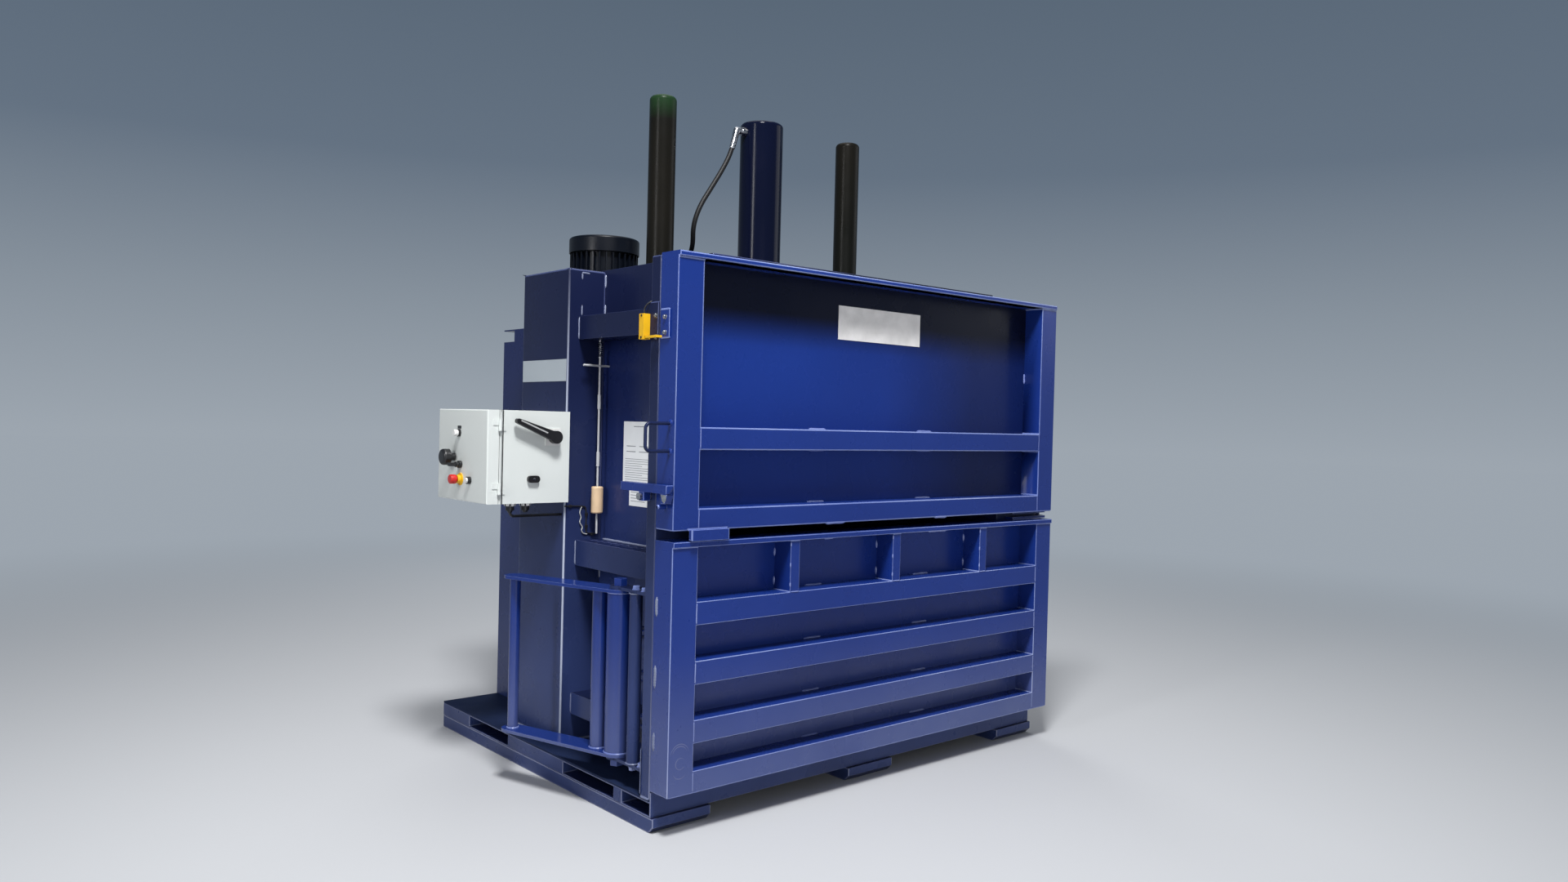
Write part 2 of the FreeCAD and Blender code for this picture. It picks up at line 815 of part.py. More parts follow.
def hose_path(points):
    """Straight runs joined by tangent arcs, each as large as its two runs allow."""
    places = [V(*point) for point in points]
    edges = []
    start = places[0]
    for before, corner, after in zip(places, places[1:], places[2:]):
        inward = (corner - before).normalize()
        outward = (after - corner).normalize()
        turn = inward.getAngle(outward)
        shorter = min((corner - before).Length, (after - corner).Length)
        setback = 0.45 * shorter
        radius = setback / math.tan(turn / 2.0)
        first = corner - inward * setback
        last = corner + outward * setback
        toward = (outward - inward).normalize()
        middle = corner + toward * (radius / math.cos(turn / 2.0) - radius)
        edges.append(Part.LineSegment(start, first).toShape())
        edges.append(Part.Arc(first, middle, last).toShape())
        start = last
        print("hose bend radius", round(radius, 1))
    edges.append(Part.LineSegment(start, places[-1]).toShape())
    return Part.Wire(edges)


def make_pressure_hose():
    """The pressure hose from the elbow at the barrel's top to the valve block."""
    path = hose_path(hose_route)
    heading = hose_second - hose_start
    ring = Part.Wire([Part.makeCircle(hose_diameter / 2.0, hose_start, heading)])
    tube = path.makePipeShell([ring], True, True)
    expected = math.pi * hose_diameter ** 2 / 4.0 * path.Length
    print("hose length", round(path.Length, 1), "volume ratio", round(tube.Volume / expected, 4))
    return tube


# ---------------------------------------------------------------- power pack
def make_oil_tank():
    """Open-topped oil tank on the roof."""
    body = block(tank_left, tank_left + tank_length, tank_front, tank_front + tank_width,
                 roof_top, tank_top)
    hollow = block(tank_left + tank_steel, tank_left + tank_length - tank_steel,
                   tank_front + tank_steel, tank_front + tank_width - tank_steel,
                   roof_top + tank_steel, tank_top + 1.0)
    return body.cut(hollow)


def make_tank_lid():
    """Lid with the motor's opening and a filler neck."""
    overhang = 6.0
    lid = block(tank_left - overhang, tank_left + tank_length + overhang,
                tank_front - overhang, tank_front + tank_width + overhang, tank_top, lid_top)
    hole = rod(motor_x, motor_y, tank_top - 1.0, lid_top + 1.0, shaft_diameter * 2.0)
    neck_x = tank_left + tank_length - 60.0
    neck_y = tank_front + tank_width - 60.0
    neck = rod(neck_x, neck_y, lid_top, lid_top + 34.0, 60.0)
    cap = rod(neck_x, neck_y, lid_top + 34.0, lid_top + 60.0, 78.0)
    return lid.cut(hole).fuse([neck, cap])


motor_base = lid_top + motor_flange_thickness
motor_top = motor_base + motor_body_height


def make_motor_body():
    """Finned motor housing on its flange, with the terminal box on its far side."""
    core_radius = motor_core_diameter / 2.0
    fin_radius = motor_diameter / 2.0 - fan_cover_steel - 2.0
    flange = rod(motor_x, motor_y, lid_top, motor_base, motor_core_diameter + 20.0)
    core = rod(motor_x, motor_y, motor_base, motor_top, motor_core_diameter)
    fins = []
    for index in range(motor_fin_count):
        fin = block(core_radius - 1.5, fin_radius, -motor_fin_thickness / 2.0,
                    motor_fin_thickness / 2.0, motor_base + 14.0, motor_top - 12.0)
        fin.rotate(V(0, 0, 0), V(0, 0, 1), 360.0 * (index + 0.5) / motor_fin_count)
        fin.translate(V(motor_x, motor_y, 0))
        fins.append(fin)
    box_x = motor_x + core_radius - 12.0
    terminal = block(box_x, box_x + 90.0, motor_y - 60.0, motor_y + 60.0,
                     motor_base + 70.0, motor_base + 190.0)
    bore = rod(motor_x, motor_y, lid_top - 1.0, motor_top + 1.0, shaft_diameter + 24.0)
    return flange.fuse([core, terminal] + fins).cut(bore)


def make_fan_cover():
    """Sheet cowl over the motor's fan, with a ring of air slots on top."""
    radius = motor_diameter / 2.0
    z0 = motor_top - 8.0
    z1 = motor_top + fan_cover_height
    outer = rod(motor_x, motor_y, z0, z1, motor_diameter)
    rim = [edge for edge in outer.Edges if edge.BoundBox.ZMin > z1 - 0.01]
    outer = outer.makeFillet(fan_cover_round, rim)
    hollow = rod(motor_x, motor_y, z0 - 1.0, z1 - fan_cover_steel,
                 motor_diameter - 2.0 * fan_cover_steel)
    crown = [edge for edge in hollow.Edges if edge.BoundBox.ZMin > z1 - fan_cover_steel - 0.01]
    hollow = hollow.makeFillet(fan_cover_round - fan_cover_steel, crown)
    cowl = outer.cut(hollow)
    slots = []
    for index in range(12):
        slot = block(radius * 0.35, radius * 0.78, -5.0, 5.0, z1 - fan_cover_steel - 1.0, z1 + 1.0)
        slot.rotate(V(0, 0, 0), V(0, 0, 1), 30.0 * index)
        slot.translate(V(motor_x, motor_y, 0))
        slots.append(slot)
    clips = []
    for index in range(4):
        clip = block(motor_core_diameter / 2.0, radius - 1.0, -9.0, 9.0,
                     motor_top - 8.0, motor_top - 2.0)
        clip.rotate(V(0, 0, 0), V(0, 0, 1), 45.0 + 90.0 * index)
        clip.translate(V(motor_x, motor_y, 0))
        clips.append(clip)
    return cowl.cut(slots).fuse(clips)


def make_motor_rotor():
    """Shaft with the cooling fan at its top and the pump coupling below."""
    shaft = rod(motor_x, motor_y, pump_top - pump_socket_depth, motor_top + 40.0, shaft_diameter)
    hub = rod(motor_x, motor_y, motor_top + 12.0, motor_top + 46.0, shaft_diameter * 1.8)
    blades = []
    for index in range(8):
        blade = block(shaft_diameter * 0.7, motor_diameter / 2.0 - 26.0, -3.0, 3.0,
                      motor_top + 14.0, motor_top + 44.0)
        blade.rotate(V(0, 0, 0), V(0, 0, 1), 45.0 * index)
        blade.translate(V(motor_x, motor_y, 0))
        blades.append(blade)
    return fused([shaft, hub] + blades)


def make_gear_pump():
    """Pump hanging from the lid in the oil, with a socket for the motor's shaft."""
    body = block(motor_x - 55.0, motor_x + 55.0, motor_y - 45.0, motor_y + 45.0,
                 roof_top + tank_steel + pump_floor_gap, pump_top)
    socket = rod(motor_x, motor_y, pump_top - pump_socket_depth - 1.0, pump_top + 1.0,
                 shaft_diameter + 2.0 * running_clearance)
    return body.cut(socket)


fitting_x = hose_route[-1][0]
fitting_y = hose_route[-1][1]
fitting_top = hose_route[-1][2]


def make_valve_block():
    """Valve block on the tank's lid, with two solenoids and the hose's fitting."""
    front = tank_front + 4.0
    x1 = tank_left + tank_length
    body = block(x1 - 72.0, x1, front, front + 96.0, lid_top, lid_top + valve_height)
    solenoids = []
    for index in (0, 1):
        y = front + 30.0 + index * 38.0
        solenoids.append(rod(x1 - 44.0, y, lid_top + valve_height,
                             lid_top + valve_height + 46.0, 32.0))
    neck = bar_x(x1, fitting_x, fitting_y, fitting_z, port_diameter - 4.0)
    corner = Part.makeSphere(port_diameter / 2.0 - 1.0, V(fitting_x, fitting_y, fitting_z))
    ferrule = rod(fitting_x, fitting_y, fitting_z, fitting_top, port_diameter - 2.0)
    return fused([body, neck, corner, ferrule] + solenoids)


# ---------------------------------------------------------------- doors
def door_stiles(z0, z1):
    """Left and right uprights of a door."""
    left = block(-half_width, -half_width + stile_width, 0.0, door_depth, z0, z1)
    right = block(half_width - stile_width, half_width, 0.0, door_depth, z0, z1)
    return [left, right]


def door_rail(z0, z1):
    """A closed rail between the stiles, in front of the skin."""
    return block(-half_width + stile_width, half_width - stile_width, 0.0,
                 door_depth - skin_thickness, z0, z1)


def door_top_flange(z1):
    """The thin flange that closes a door's top and stands a little proud in front."""
    return block(-half_width, half_width, -top_flange_lip, door_depth,
                 z1 - top_flange_thickness, z1)


def hinge_lug(z0, strap):
    """A flat lug on a door's right edge, with the pin's hole; strap is how far it reaches in."""
    y = hinge_y
    eye = rod(hinge_x, y, z0, z0 + hinge_lug_thickness, 2.0 * hinge_lug_radius)
    tongue = block(half_width - strap, hinge_x, door_depth - 2.0 * hinge_lug_radius,
                   door_depth, z0, z0 + hinge_lug_thickness)
    web = plate_from_outline([
        (half_width, door_depth - 2.0 * hinge_lug_radius),
        (hinge_x + hinge_lug_radius * 0.7, door_depth - hinge_lug_radius),
        (hinge_x + hinge_lug_radius, y),
        (hinge_x, y),
        (half_width, door_depth),
    ], z0, hinge_lug_thickness)
    hole = rod(hinge_x, y, z0 - 1.0, z0 + hinge_lug_thickness + 1.0,
               hinge_pin_diameter + 2.0 * running_clearance)
    return fused([eye, tongue, web]).cut(hole)


def make_upper_door_frame():
    """Stiles, two rails, top flange, cover block and hinge lugs of the upper door."""
    pieces = door_stiles(upper_bottom, upper_top - top_flange_thickness)
    pieces.append(door_top_flange(upper_top))
    pieces.append(door_rail(upper_bottom, upper_bottom + upper_bottom_rail_height))
    mid = upper_bottom + upper_mid_rail_rise
    pieces.append(door_rail(mid, mid + upper_mid_rail_height))
    cover_x = -half_width + cover_offset
    pieces.append(block(cover_x, cover_x + cover_length, -cover_depth, 0.0,
                        lower_top + 3.0, upper_bottom + 4.0))
    pieces.append(hinge_lug(upper_bottom - hinge_lug_thickness, hinge_strap_length))
    pieces.append(hinge_lug(upper_hinge_height, 0.0))
    return group([fused(pieces), latch_stud(), make_key_plate()])


def make_key_plate():
    """Bolted plate on the door's left edge that carries the switch's key."""
    back = door_depth - key_setback
    return block(-half_width - switch_bracket_steel, -half_width, back - key_plate_width, back,
                 switch_bottom, switch_bottom + key_plate_height)


def make_upper_door_skin():
    """Rear sheet of the upper door."""
    return block(-half_width + stile_width, half_width - stile_width,
                 door_depth - skin_thickness, door_depth, upper_bottom,
                 upper_top - top_flange_thickness)


def make_lower_door_frame():
    """Stiles, rails, top flange, short posts and hinge lugs of the lower door."""
    pieces = door_stiles(lower_bottom, lower_top - top_flange_thickness)
    pieces.append(door_top_flange(lower_top))
    pieces.append(door_rail(lower_bottom, lower_bottom + lower_bottom_rail_height))
    for rise in lower_rail_rises:
        pieces.append(door_rail(lower_bottom + rise, lower_bottom + rise + lower_rail_height))
    pieces.append(hinge_lug(lower_top, hinge_strap_length))
    for height in lower_hinge_heights:
        pieces.append(hinge_lug(height, 0.0))
    return fused(pieces + make_lower_door_posts())


def make_lower_door_posts():
    """Three short channel posts between the top rail and the top flange."""
    z0 = lower_bottom + lower_rail_rises[-1] + lower_rail_height
    z1 = lower_top - top_flange_thickness
    back = door_depth - skin_thickness
    posts = []
    for index in range(post_count):
        x0 = post_offset - post_width / 2.0 + (index - (post_count - 1) / 2.0) * post_pitch
        side = block(x0, x0 + post_steel, 0.0, back, z0, z1)
        face = block(x0, x0 + post_width, 0.0, post_steel, z0, z1)
        posts.append(fused([side, face]))
    return posts


def make_lower_door_skin():
    """Rear sheet of the lower door."""
    return block(-half_width + stile_width, half_width - stile_width,
                 door_depth - skin_thickness, door_depth, lower_bottom,
                 lower_top - top_flange_thickness)


def keeper_plates(height):
    """Bottom heights of the two plates of a keeper, on either side of a hook."""
    half_gap = lock_hook_thickness / 2.0 + keeper_clearance
    return height - half_gap - keeper_plate, height + half_gap


def make_lock_keepers():
    """Rearward lugs with upright pins on the lower door, reaching through the frame's slots."""
    keepers = []
    half = keeper_pin_diameter / 2.0 + keeper_plate
    for height in lock_hook_heights:
        levels = keeper_plates(height)
        plates = [block(keeper_x - half, keeper_x + half, door_depth, door_depth + keeper_reach,
                        z0, z0 + keeper_plate) for z0 in levels]
        pin = rod(keeper_x, keeper_pin_y, levels[0] + keeper_plate, levels[1],
                  keeper_pin_diameter)
        keepers += plates + [pin]
    return group(keepers)


def make_door_handle():
    """A pull handle bent from round bar, on the upper door's left edge."""
    high = upper_bottom + handle_rise
    low = high - handle_height
    near = -half_width
    far = near - handle_reach
    route = [(near, handle_y, high), (far, handle_y, high), (far, handle_y, low),
             (near, handle_y, low)]
    return bent_bar(route, handle_bend, handle_diameter)


def make_name_plate():
    """Blank pale plate on the upper door's skin."""
    back = door_depth - skin_thickness
    z0 = upper_bottom + name_plate_rise
    return block(-name_plate_length / 2.0, name_plate_length / 2.0,
                 back - name_plate_thickness, back, z0, z0 + name_plate_height)


def latch_stud():
    """Stud on the upper door's left edge that the latch drops in front of."""
    return bar_x(-half_width - 40.0, -half_width, latch_stud_y, latch_stud_z,
                 latch_stud_diameter)


# ---------------------------------------------------------------- hinge parts on the frame
def frame_lug(z0):
    """A flat lug on the frame's right upright, reaching the hinge line."""
    eye = rod(hinge_x, hinge_y, z0, z0 + hinge_lug_thickness, 2.0 * hinge_lug_radius)
    tongue = plate_from_outline([
        (half_width, frame_front),
        (hinge_x, hinge_y - hinge_lug_radius + 12.0),
        (hinge_x + hinge_lug_radius, hinge_y),
        (half_width, frame_back),
    ], z0, hinge_lug_thickness)
    hole = rod(hinge_x, hinge_y, z0 - 1.0, z0 + hinge_lug_thickness + 1.0, hinge_pin_diameter)
    return fused([eye, tongue]).cut(hole)


def hinge_lug_levels():
    """Bottom heights of the frame's hinge lugs."""
    t = hinge_lug_thickness
    levels = [(lower_top + upper_bottom - t) / 2.0, upper_hinge_height - t,
              upper_hinge_height + t]
    for height in lower_hinge_heights:
        levels += [height - t, height + t]
    return levels


def make_hinge_lugs():
    """All hinge lugs of the frame."""
    return group([frame_lug(level) for level in hinge_lug_levels()])


def make_hinge_pins():
    """The hinge pins, each through the lugs of its place."""
    t = hinge_lug_thickness
    spans = [(lower_top, upper_bottom)]
    for height in (upper_hinge_height,) + lower_hinge_heights:
        spans.append((height - t, height + 2.0 * t))
    return group([rod(hinge_x, hinge_y, low, high, hinge_pin_diameter) for low, high in spans])


# ---------------------------------------------------------------- lock
def lever_point(reach):
    """A place along the lever arm, in plan."""
    angle = math.radians(lock_lever_angle)
    return lock_x + reach * math.cos(angle), lock_y + reach * math.sin(angle)


def make_lock_lever():
    """Two tapered arms, the turning column with its hooks, the stay tube and the grip tube."""
    t = lock_arm_thickness
    tip_x, tip_y = lever_point(lock_handle_reach)
    stay_x, stay_y = lever_point(lock_stay_reach)
    pieces = []
    for z0 in (lock_bottom, lock_top - t):
        arm = tapered_arm(lock_x, lock_y, lock_arm_root, tip_x, tip_y, lock_arm_tip, z0, t)
        pieces.append(arm)
    inside = (lock_bottom + t, lock_top - t)
    pieces.append(rod(lock_x, lock_y, inside[0], inside[1], lock_column_diameter))
    pieces.append(rod(stay_x, stay_y, inside[0], inside[1], lock_stay_diameter))
    pieces.append(rod(tip_x, tip_y, inside[0], inside[1], lock_handle_diameter))
    lever = fused(pieces)
    bore = rod(lock_x, lock_y, lock_bottom - 1.0, lock_top + 1.0,
               lock_pin_diameter + 2.0 * running_clearance)
    solids = [lever.cut(bore)]
    for height in lock_hook_heights:
        solids += lock_hook(height)
    return group(solids)


def lock_hook(height):
    """A cam hook on the column, its arm and the finger that swings in front of a keeper pin."""
    reach = math.hypot(keeper_x - lock_x, keeper_pin_y - lock_y)
    heading = math.degrees(math.atan2(keeper_pin_y - lock_y, keeper_x - lock_x))
    inner = reach + keeper_pin_diameter / 2.0 + keeper_clearance
    pin_angle = math.degrees(math.asin(keeper_pin_diameter / 2.0 / reach))
    start = heading + pin_angle + lock_release_angle - 4.0
    end = start + lock_finger_angle
    root = math.sqrt(lock_column_diameter ** 2 - lock_hook_width ** 2) / 2.0
    z0 = height - lock_hook_thickness / 2.0
    tangent = inner * math.tan(math.radians(lock_finger_angle / 2.0))
    finger = plate_from_outline([
        (inner, -tangent),
        (inner + lock_finger_depth, -tangent),
        (inner + lock_finger_depth, tangent),
        (inner, tangent),
    ], z0, lock_hook_thickness)
    arm = block(root, inner, tangent - lock_hook_width, tangent, z0, z0 + lock_hook_thickness)
    column = rod(0.0, 0.0, z0 - 1.0, z0 + lock_hook_thickness + 1.0, lock_column_diameter)
    arm = arm.cut(column)
    placed = []
    for piece in (finger, arm):
        piece.rotate(V(0, 0, 0), V(0, 0, 1), (start + end) / 2.0)
        piece.translate(V(lock_x, lock_y, 0))
        placed.append(piece)
    return placed


def bracket_levels():
    """Bottom heights of the lock's upper and lower brackets."""
    return lock_top, lock_bottom - lock_arm_thickness


def make_lock_brackets():
    """Two brackets behind the left upright that carry the lock lever, with a post between."""
    t = lock_arm_thickness
    half = lock_bracket_width / 2.0
    solids = []
    for z0 in bracket_levels():
        tongue = block(-half_width + frame_steel, lock_x + half, frame_front + frame_steel,
                       lock_y, z0, z0 + t)
        eye = rod(lock_x, lock_y, z0, z0 + t, lock_bracket_width)
        bore = rod(lock_x, lock_y, z0 - 1.0, z0 + t + 1.0, lock_pin_diameter)
        solids.append(tongue.fuse(eye).cut(bore))
    solids.append(rod(lock_post_x, lock_post_y, lock_bottom, lock_top, lock_post_diameter))
    return group(solids)


def make_lock_pins():
    """Two short pivot pins with hexagonal nuts outside the brackets."""
    t = lock_arm_thickness
    nut = lock_nut_height
    pins = []
    for level, inward, outward in ((lock_top, -3.0 * t, t), (lock_bottom, 3.0 * t, -t)):
        ends = sorted((level + inward, level + outward + math.copysign(nut, outward)))
        shank = rod(lock_x, lock_y, ends[0], ends[1], lock_pin_diameter)
        nut_z = min(level + outward, level + outward + math.copysign(nut, outward))
        pins.append(shank.fuse(hexagon(lock_x, lock_y, nut_z, nut, lock_pin_diameter * 1.53)))
    return group(pins)


# ---------------------------------------------------------------- latch
def make_latch_lever():
    """Channel lever on a cross pin; its nose drops in front of the door's stud."""
    x1 = -half_width - 5.0
    x0 = x1 - latch_bar_width
    z0 = latch_pivot_z + 16.0
    z1 = z0 + latch_bar_height
    bar = block(x0, x1, latch_bar_front, latch_bar_rear, z0, z1)
    hollow = block(x0 + latch_bar_steel, x1 - latch_bar_steel, latch_bar_front + 40.0,
                   latch_bar_rear + 1.0, z0 - 1.0, z1 - latch_bar_steel)
    cheek = block(x0, x1, latch_pivot_y - 16.0, latch_pivot_y + 16.0, latch_pivot_z - 16.0, z0)
    nose_profile = Part.makePolygon([
        V(x0, latch_bar_front, z0),
        V(x0, latch_bar_front + 34.0, z0),
        V(x0, latch_bar_front + 34.0, latch_stud_z + latch_stud_diameter / 2.0 + 4.0),
        V(x0, latch_bar_front + 12.0, latch_stud_z + latch_stud_diameter / 2.0 + 4.0),
        V(x0, latch_bar_front, z0 - 8.0),
        V(x0, latch_bar_front, z0),
    ])
    nose = Part.Face(nose_profile).extrude(V(latch_bar_width, 0, 0))
    cheek = cheek.cut(bar_x(x0 - 1.0, x1 + 1.0, latch_pivot_y, latch_pivot_z,
                            latch_pin_diameter + 2.0 * running_clearance))
    return group([bar.cut(hollow), cheek, nose])


def make_latch_pin():
    """Cross pin of the latch, fixed in the frame's side."""
    x1 = -half_width
    x0 = x1 - latch_bar_width - 11.0
    pin = bar_x(x0, x1, latch_pivot_y, latch_pivot_z, latch_pin_diameter)
    head = bar_x(x0 - 6.0, x0, latch_pivot_y, latch_pivot_z, latch_pin_diameter + 10.0)
    boss = bar_x(x1 - 4.5, x1, latch_pivot_y, latch_pivot_z, latch_pin_diameter + 10.0)
    return fused([pin, head, boss])


# ---------------------------------------------------------------- safety switch
def make_safety_switch():
    """Slim switch housing on its bracket, with the key's slot at its foot."""
    x1 = -half_width - switch_bracket_steel
    body = block(x1 - switch_depth, x1, switch_y, switch_y + switch_width,
                 switch_bottom, switch_bottom + switch_height)
    slot = block(x1 - switch_depth + 4.0, x1 - 4.0, switch_y - 1.0,
                 switch_y + key_travel + 3.0, switch_bottom + 3.0,
                 switch_bottom + 5.0 + key_thickness)
    return body.cut(slot)


def make_switch_key():
    """Key on the door's plate, its tongue reaching into the switch."""
    x1 = -half_width - switch_bracket_steel
    back = door_depth - key_setback
    z0 = switch_bottom + 4.0
    foot = block(x1 - switch_depth + 3.0, x1, back - 14.0, back, z0, z0 + key_thickness)
    tongue = block(x1 - switch_depth + 6.0, x1 - 6.0, back, switch_y + key_travel,
                   z0, z0 + key_thickness)
    return fused([foot, tongue])


# ---------------------------------------------------------------- electric box
def make_box_body():
    """Sheet steel box on the left column, open towards its lid."""
    y0 = box_front
    y1 = box_front + box_length
    z0 = box_bottom
    z1 = box_bottom + box_height
    outer = block(box_front_x, box_back_x, y0, y1, z0, z1)
    hollow = block(box_front_x - 1.0, box_back_x - box_steel, y0 + box_steel, y1 - box_steel,
                   z0 + box_steel, z1 - box_steel)
    return group([outer.cut(hollow)] + box_knuckles())


def make_box_lid():
    """Deep folded lid, hinged on its near upright edge."""
    y0 = box_front
    y1 = box_front + box_length
    z0 = box_bottom
    z1 = box_bottom + box_height
    outer = block(lid_outer_x, lid_inner_x, y0, y1, z0, z1)
    front = [edge for edge in outer.Edges if edge.BoundBox.XMax < lid_outer_x + 0.01]
    outer = outer.makeFillet(box_edge_round, front)
    hollow = block(lid_outer_x + box_steel, lid_inner_x + 1.0, y0 + box_steel, y1 - box_steel,
                   z0 + box_steel, z1 - box_steel)
    return group([outer.cut(hollow)] + lid_knuckles())


box_hinge_radius = 7.0
box_hinge_y = box_front - box_hinge_radius
box_hinge_x = (box_front_x + lid_inner_x) / 2.0
box_hinge_heights = (box_bottom + 60.0, box_bottom + box_height - 60.0)
box_hinge_length = 44.0


def box_knuckles():
    """Knuckles and pins of the box's two hinges, on the box's side."""
    pieces = []
    for height in box_hinge_heights:
        knuckle = rod(box_hinge_x, box_hinge_y, height - box_hinge_length / 2.0, height,
                      2.0 * box_hinge_radius)
        leaf = block(box_front_x, box_front_x + 26.0, box_front - 3.0, box_front,
                     height - box_hinge_length / 2.0, height)
        pin = rod(box_hinge_x, box_hinge_y, height, height + box_hinge_length / 2.0,
                  box_hinge_radius)
        pieces.append(fused([knuckle, leaf, pin]))
    return pieces


def lid_knuckles():
    """Knuckles of the box's hinges on the lid's side."""
    pieces = []
    for height in box_hinge_heights:
        knuckle = rod(box_hinge_x, box_hinge_y, height, height + box_hinge_length / 2.0,
                      2.0 * box_hinge_radius)
        leaf = block(lid_inner_x - 26.0, lid_inner_x, box_front - 3.0, box_front,
                     height, height + box_hinge_length / 2.0)
        bore = rod(box_hinge_x, box_hinge_y, height - 1.0, height + box_hinge_length / 2.0 + 1.0,
                   box_hinge_radius + 2.0 * running_clearance)
        pieces.append(fused([knuckle, leaf]).cut(bore))
    return pieces


def make_control_gear():
    """Mounting plate with rail and a row of contactors inside the box."""
    x1 = box_back_x - box_steel - 12.0
    y0 = box_front + 30.0
    y1 = box_front + box_length - 30.0
    z0 = box_bottom + 30.0
    z1 = box_bottom + box_height - 30.0
    plate = block(x1 - 3.0, x1, y0, y1, z0, z1)
    stand = block(x1, box_back_x - box_steel, y0 + 10.0, y0 + 26.0, z0 + 10.0, z0 + 26.0)
    stand_far = block(x1, box_back_x - box_steel, y1 - 26.0, y1 - 10.0, z1 - 26.0, z1 - 10.0)
    pieces = [plate, stand, stand_far]
    for index in range(5):
        y = y0 + 14.0 + index * 70.0
        pieces.append(block(x1 - 83.0, x1 - 3.0, y, y + 52.0, z0 + 190.0, z0 + 275.0))
    pieces.append(block(x1 - 48.0, x1 - 3.0, y0 + 14.0, y1 - 14.0, z0 + 60.0, z0 + 110.0))
    return fused(pieces)


gland_places = ((-1232.0, 930.0), (-1165.0, 930.0))


def make_cable_glands():
    """Two hexagonal cable glands under the box."""
    glands = []
    for x, y in gland_places:
        nut = hexagon(x, y, box_bottom - 12.0, 12.0, 40.0)
        dome = rod(x, y, box_bottom - 30.0, box_bottom - 12.0, 34.0)
        glands.append(nut.fuse(dome))
    return group(glands)


isolator_x = -1078.0
isolator_z = 1381.0


def make_isolator_plate():
    """Square front plate and boss of the main isolator."""
    y = box_front
    plate = block(isolator_x - 34.0, isolator_x + 34.0, y - 6.0, y, isolator_z - 34.0,
                  isolator_z + 34.0)
    boss = bar_y(y - 12.0, y - 6.0, isolator_x, isolator_z, 44.0)
    return plate.fuse(boss)


def make_isolator_handle():
    """Long rotary handle of the main isolator."""
    y1 = box_front - 12.0
    hub = bar_y(y1 - 26.0, y1, isolator_x, isolator_z, 52.0)
    grip_tip_x = -1246.0
    grip_tip_z = 1443.0
    length = math.hypot(grip_tip_x - isolator_x, grip_tip_z - isolator_z)
    arm = tapered_arm(0.0, 0.0, 20.0, length, 0.0, 10.0, 0.0, 20.0)
    arm.rotate(V(0, 0, 0), V(1, 0, 0), 90.0)
    angle = math.degrees(math.atan2(grip_tip_z - isolator_z, grip_tip_x - isolator_x))
    arm.rotate(V(0, 0, 0), V(0, 1, 0), -angle)
    arm.translate(V(isolator_x, y1 - 6.0, isolator_z))
    return hub.fuse(arm)


box_lock_x = -1163.0
box_lock_z = 1212.0


def make_box_lock():
    """Oval quarter-turn lock on the box's near side."""
    y = box_front
    left = bar_y(y - 14.0, y, box_lock_x - 12.0, box_lock_z, 28.0)
    right = bar_y(y - 14.0, y, box_lock_x + 12.0, box_lock_z, 28.0)
    middle = block(box_lock_x - 12.0, box_lock_x + 12.0, y - 14.0, y,
                   box_lock_z - 14.0, box_lock_z + 14.0)
    keyhole = bar_y(y - 15.0, y - 9.0, box_lock_x, box_lock_z, 14.0)
    return fused([left, middle, right]).cut(keyhole)


estop_y = 1105.0
estop_z = 1203.0
palm_y = 1165.0
palm_z = 1290.0
push_y = 1020.0
push_z = 1202.0
lamp_y = 1122.0
lamp_z = 1389.0
selector_y = 1105.0
selector_z = 1262.0
button_hole = 22.0


def lid_disc(y, z, x0, x1, diameter):
    """A disc on the lid, its depth given outwards from the lid's face."""
    return bar_x(lid_outer_x - x1, lid_outer_x - x0, y, z, diameter)


def make_estop_ring():
    """Yellow collar of the emergency stop."""
    base = lid_disc(estop_y, estop_z, 0.0, 4.0, 50.0)
    neck = lid_disc(estop_y, estop_z, 4.0, 18.0, 34.0)
    bore = lid_disc(estop_y, estop_z, 2.0, 19.0, button_hole + 2.0 * running_clearance)
    return base.fuse(neck).cut(bore)


def make_estop_head():
    """Red mushroom head of the emergency stop."""
    stem = lid_disc(estop_y, estop_z, 9.0, 25.0, button_hole)
    head = lid_disc(estop_y, estop_z, 25.0, 48.0, 38.0)
    rims = [edge for edge in head.Edges if edge.BoundBox.XMax < lid_outer_x - 47.9]
    return stem.fuse(head.makeFillet(6.0, rims))


def make_palm_button():
    """Large black palm button."""
    stem = lid_disc(palm_y, palm_z, 8.0, 26.0, button_hole)
    head = lid_disc(palm_y, palm_z, 26.0, 58.0, 66.0)
    rims = [edge for edge in head.Edges if edge.BoundBox.XMax < lid_outer_x - 57.9]
    return stem.fuse(head.makeFillet(12.0, rims))


def make_push_button():
    """White push button."""
    return lid_disc(push_y, push_z, 6.0, 20.0, button_hole)


def make_button_bezels():
    """Black collars of the palm button, push button, lamp and selector."""
    collars = []
    for y, z, height in ((palm_y, palm_z, 17.0), (push_y, push_z, 14.0),
                         (selector_y, selector_z, 12.0)):
        collar = lid_disc(y, z, 0.0, height, 30.0)
        bore = lid_disc(y, z, 3.0, height + 1.0, button_hole + 2.0 * running_clearance)
        collars.append(collar.cut(bore))
    lamp = lid_disc(lamp_y, lamp_z, 0.0, 10.0, 30.0)
    collars.append(lamp)
    collars.append(block(lid_outer_x - 2.0, lid_outer_x, lamp_y - 15.0, lamp_y + 15.0,
                         lamp_z + 17.0, lamp_z + 29.0))
    return group(collars)


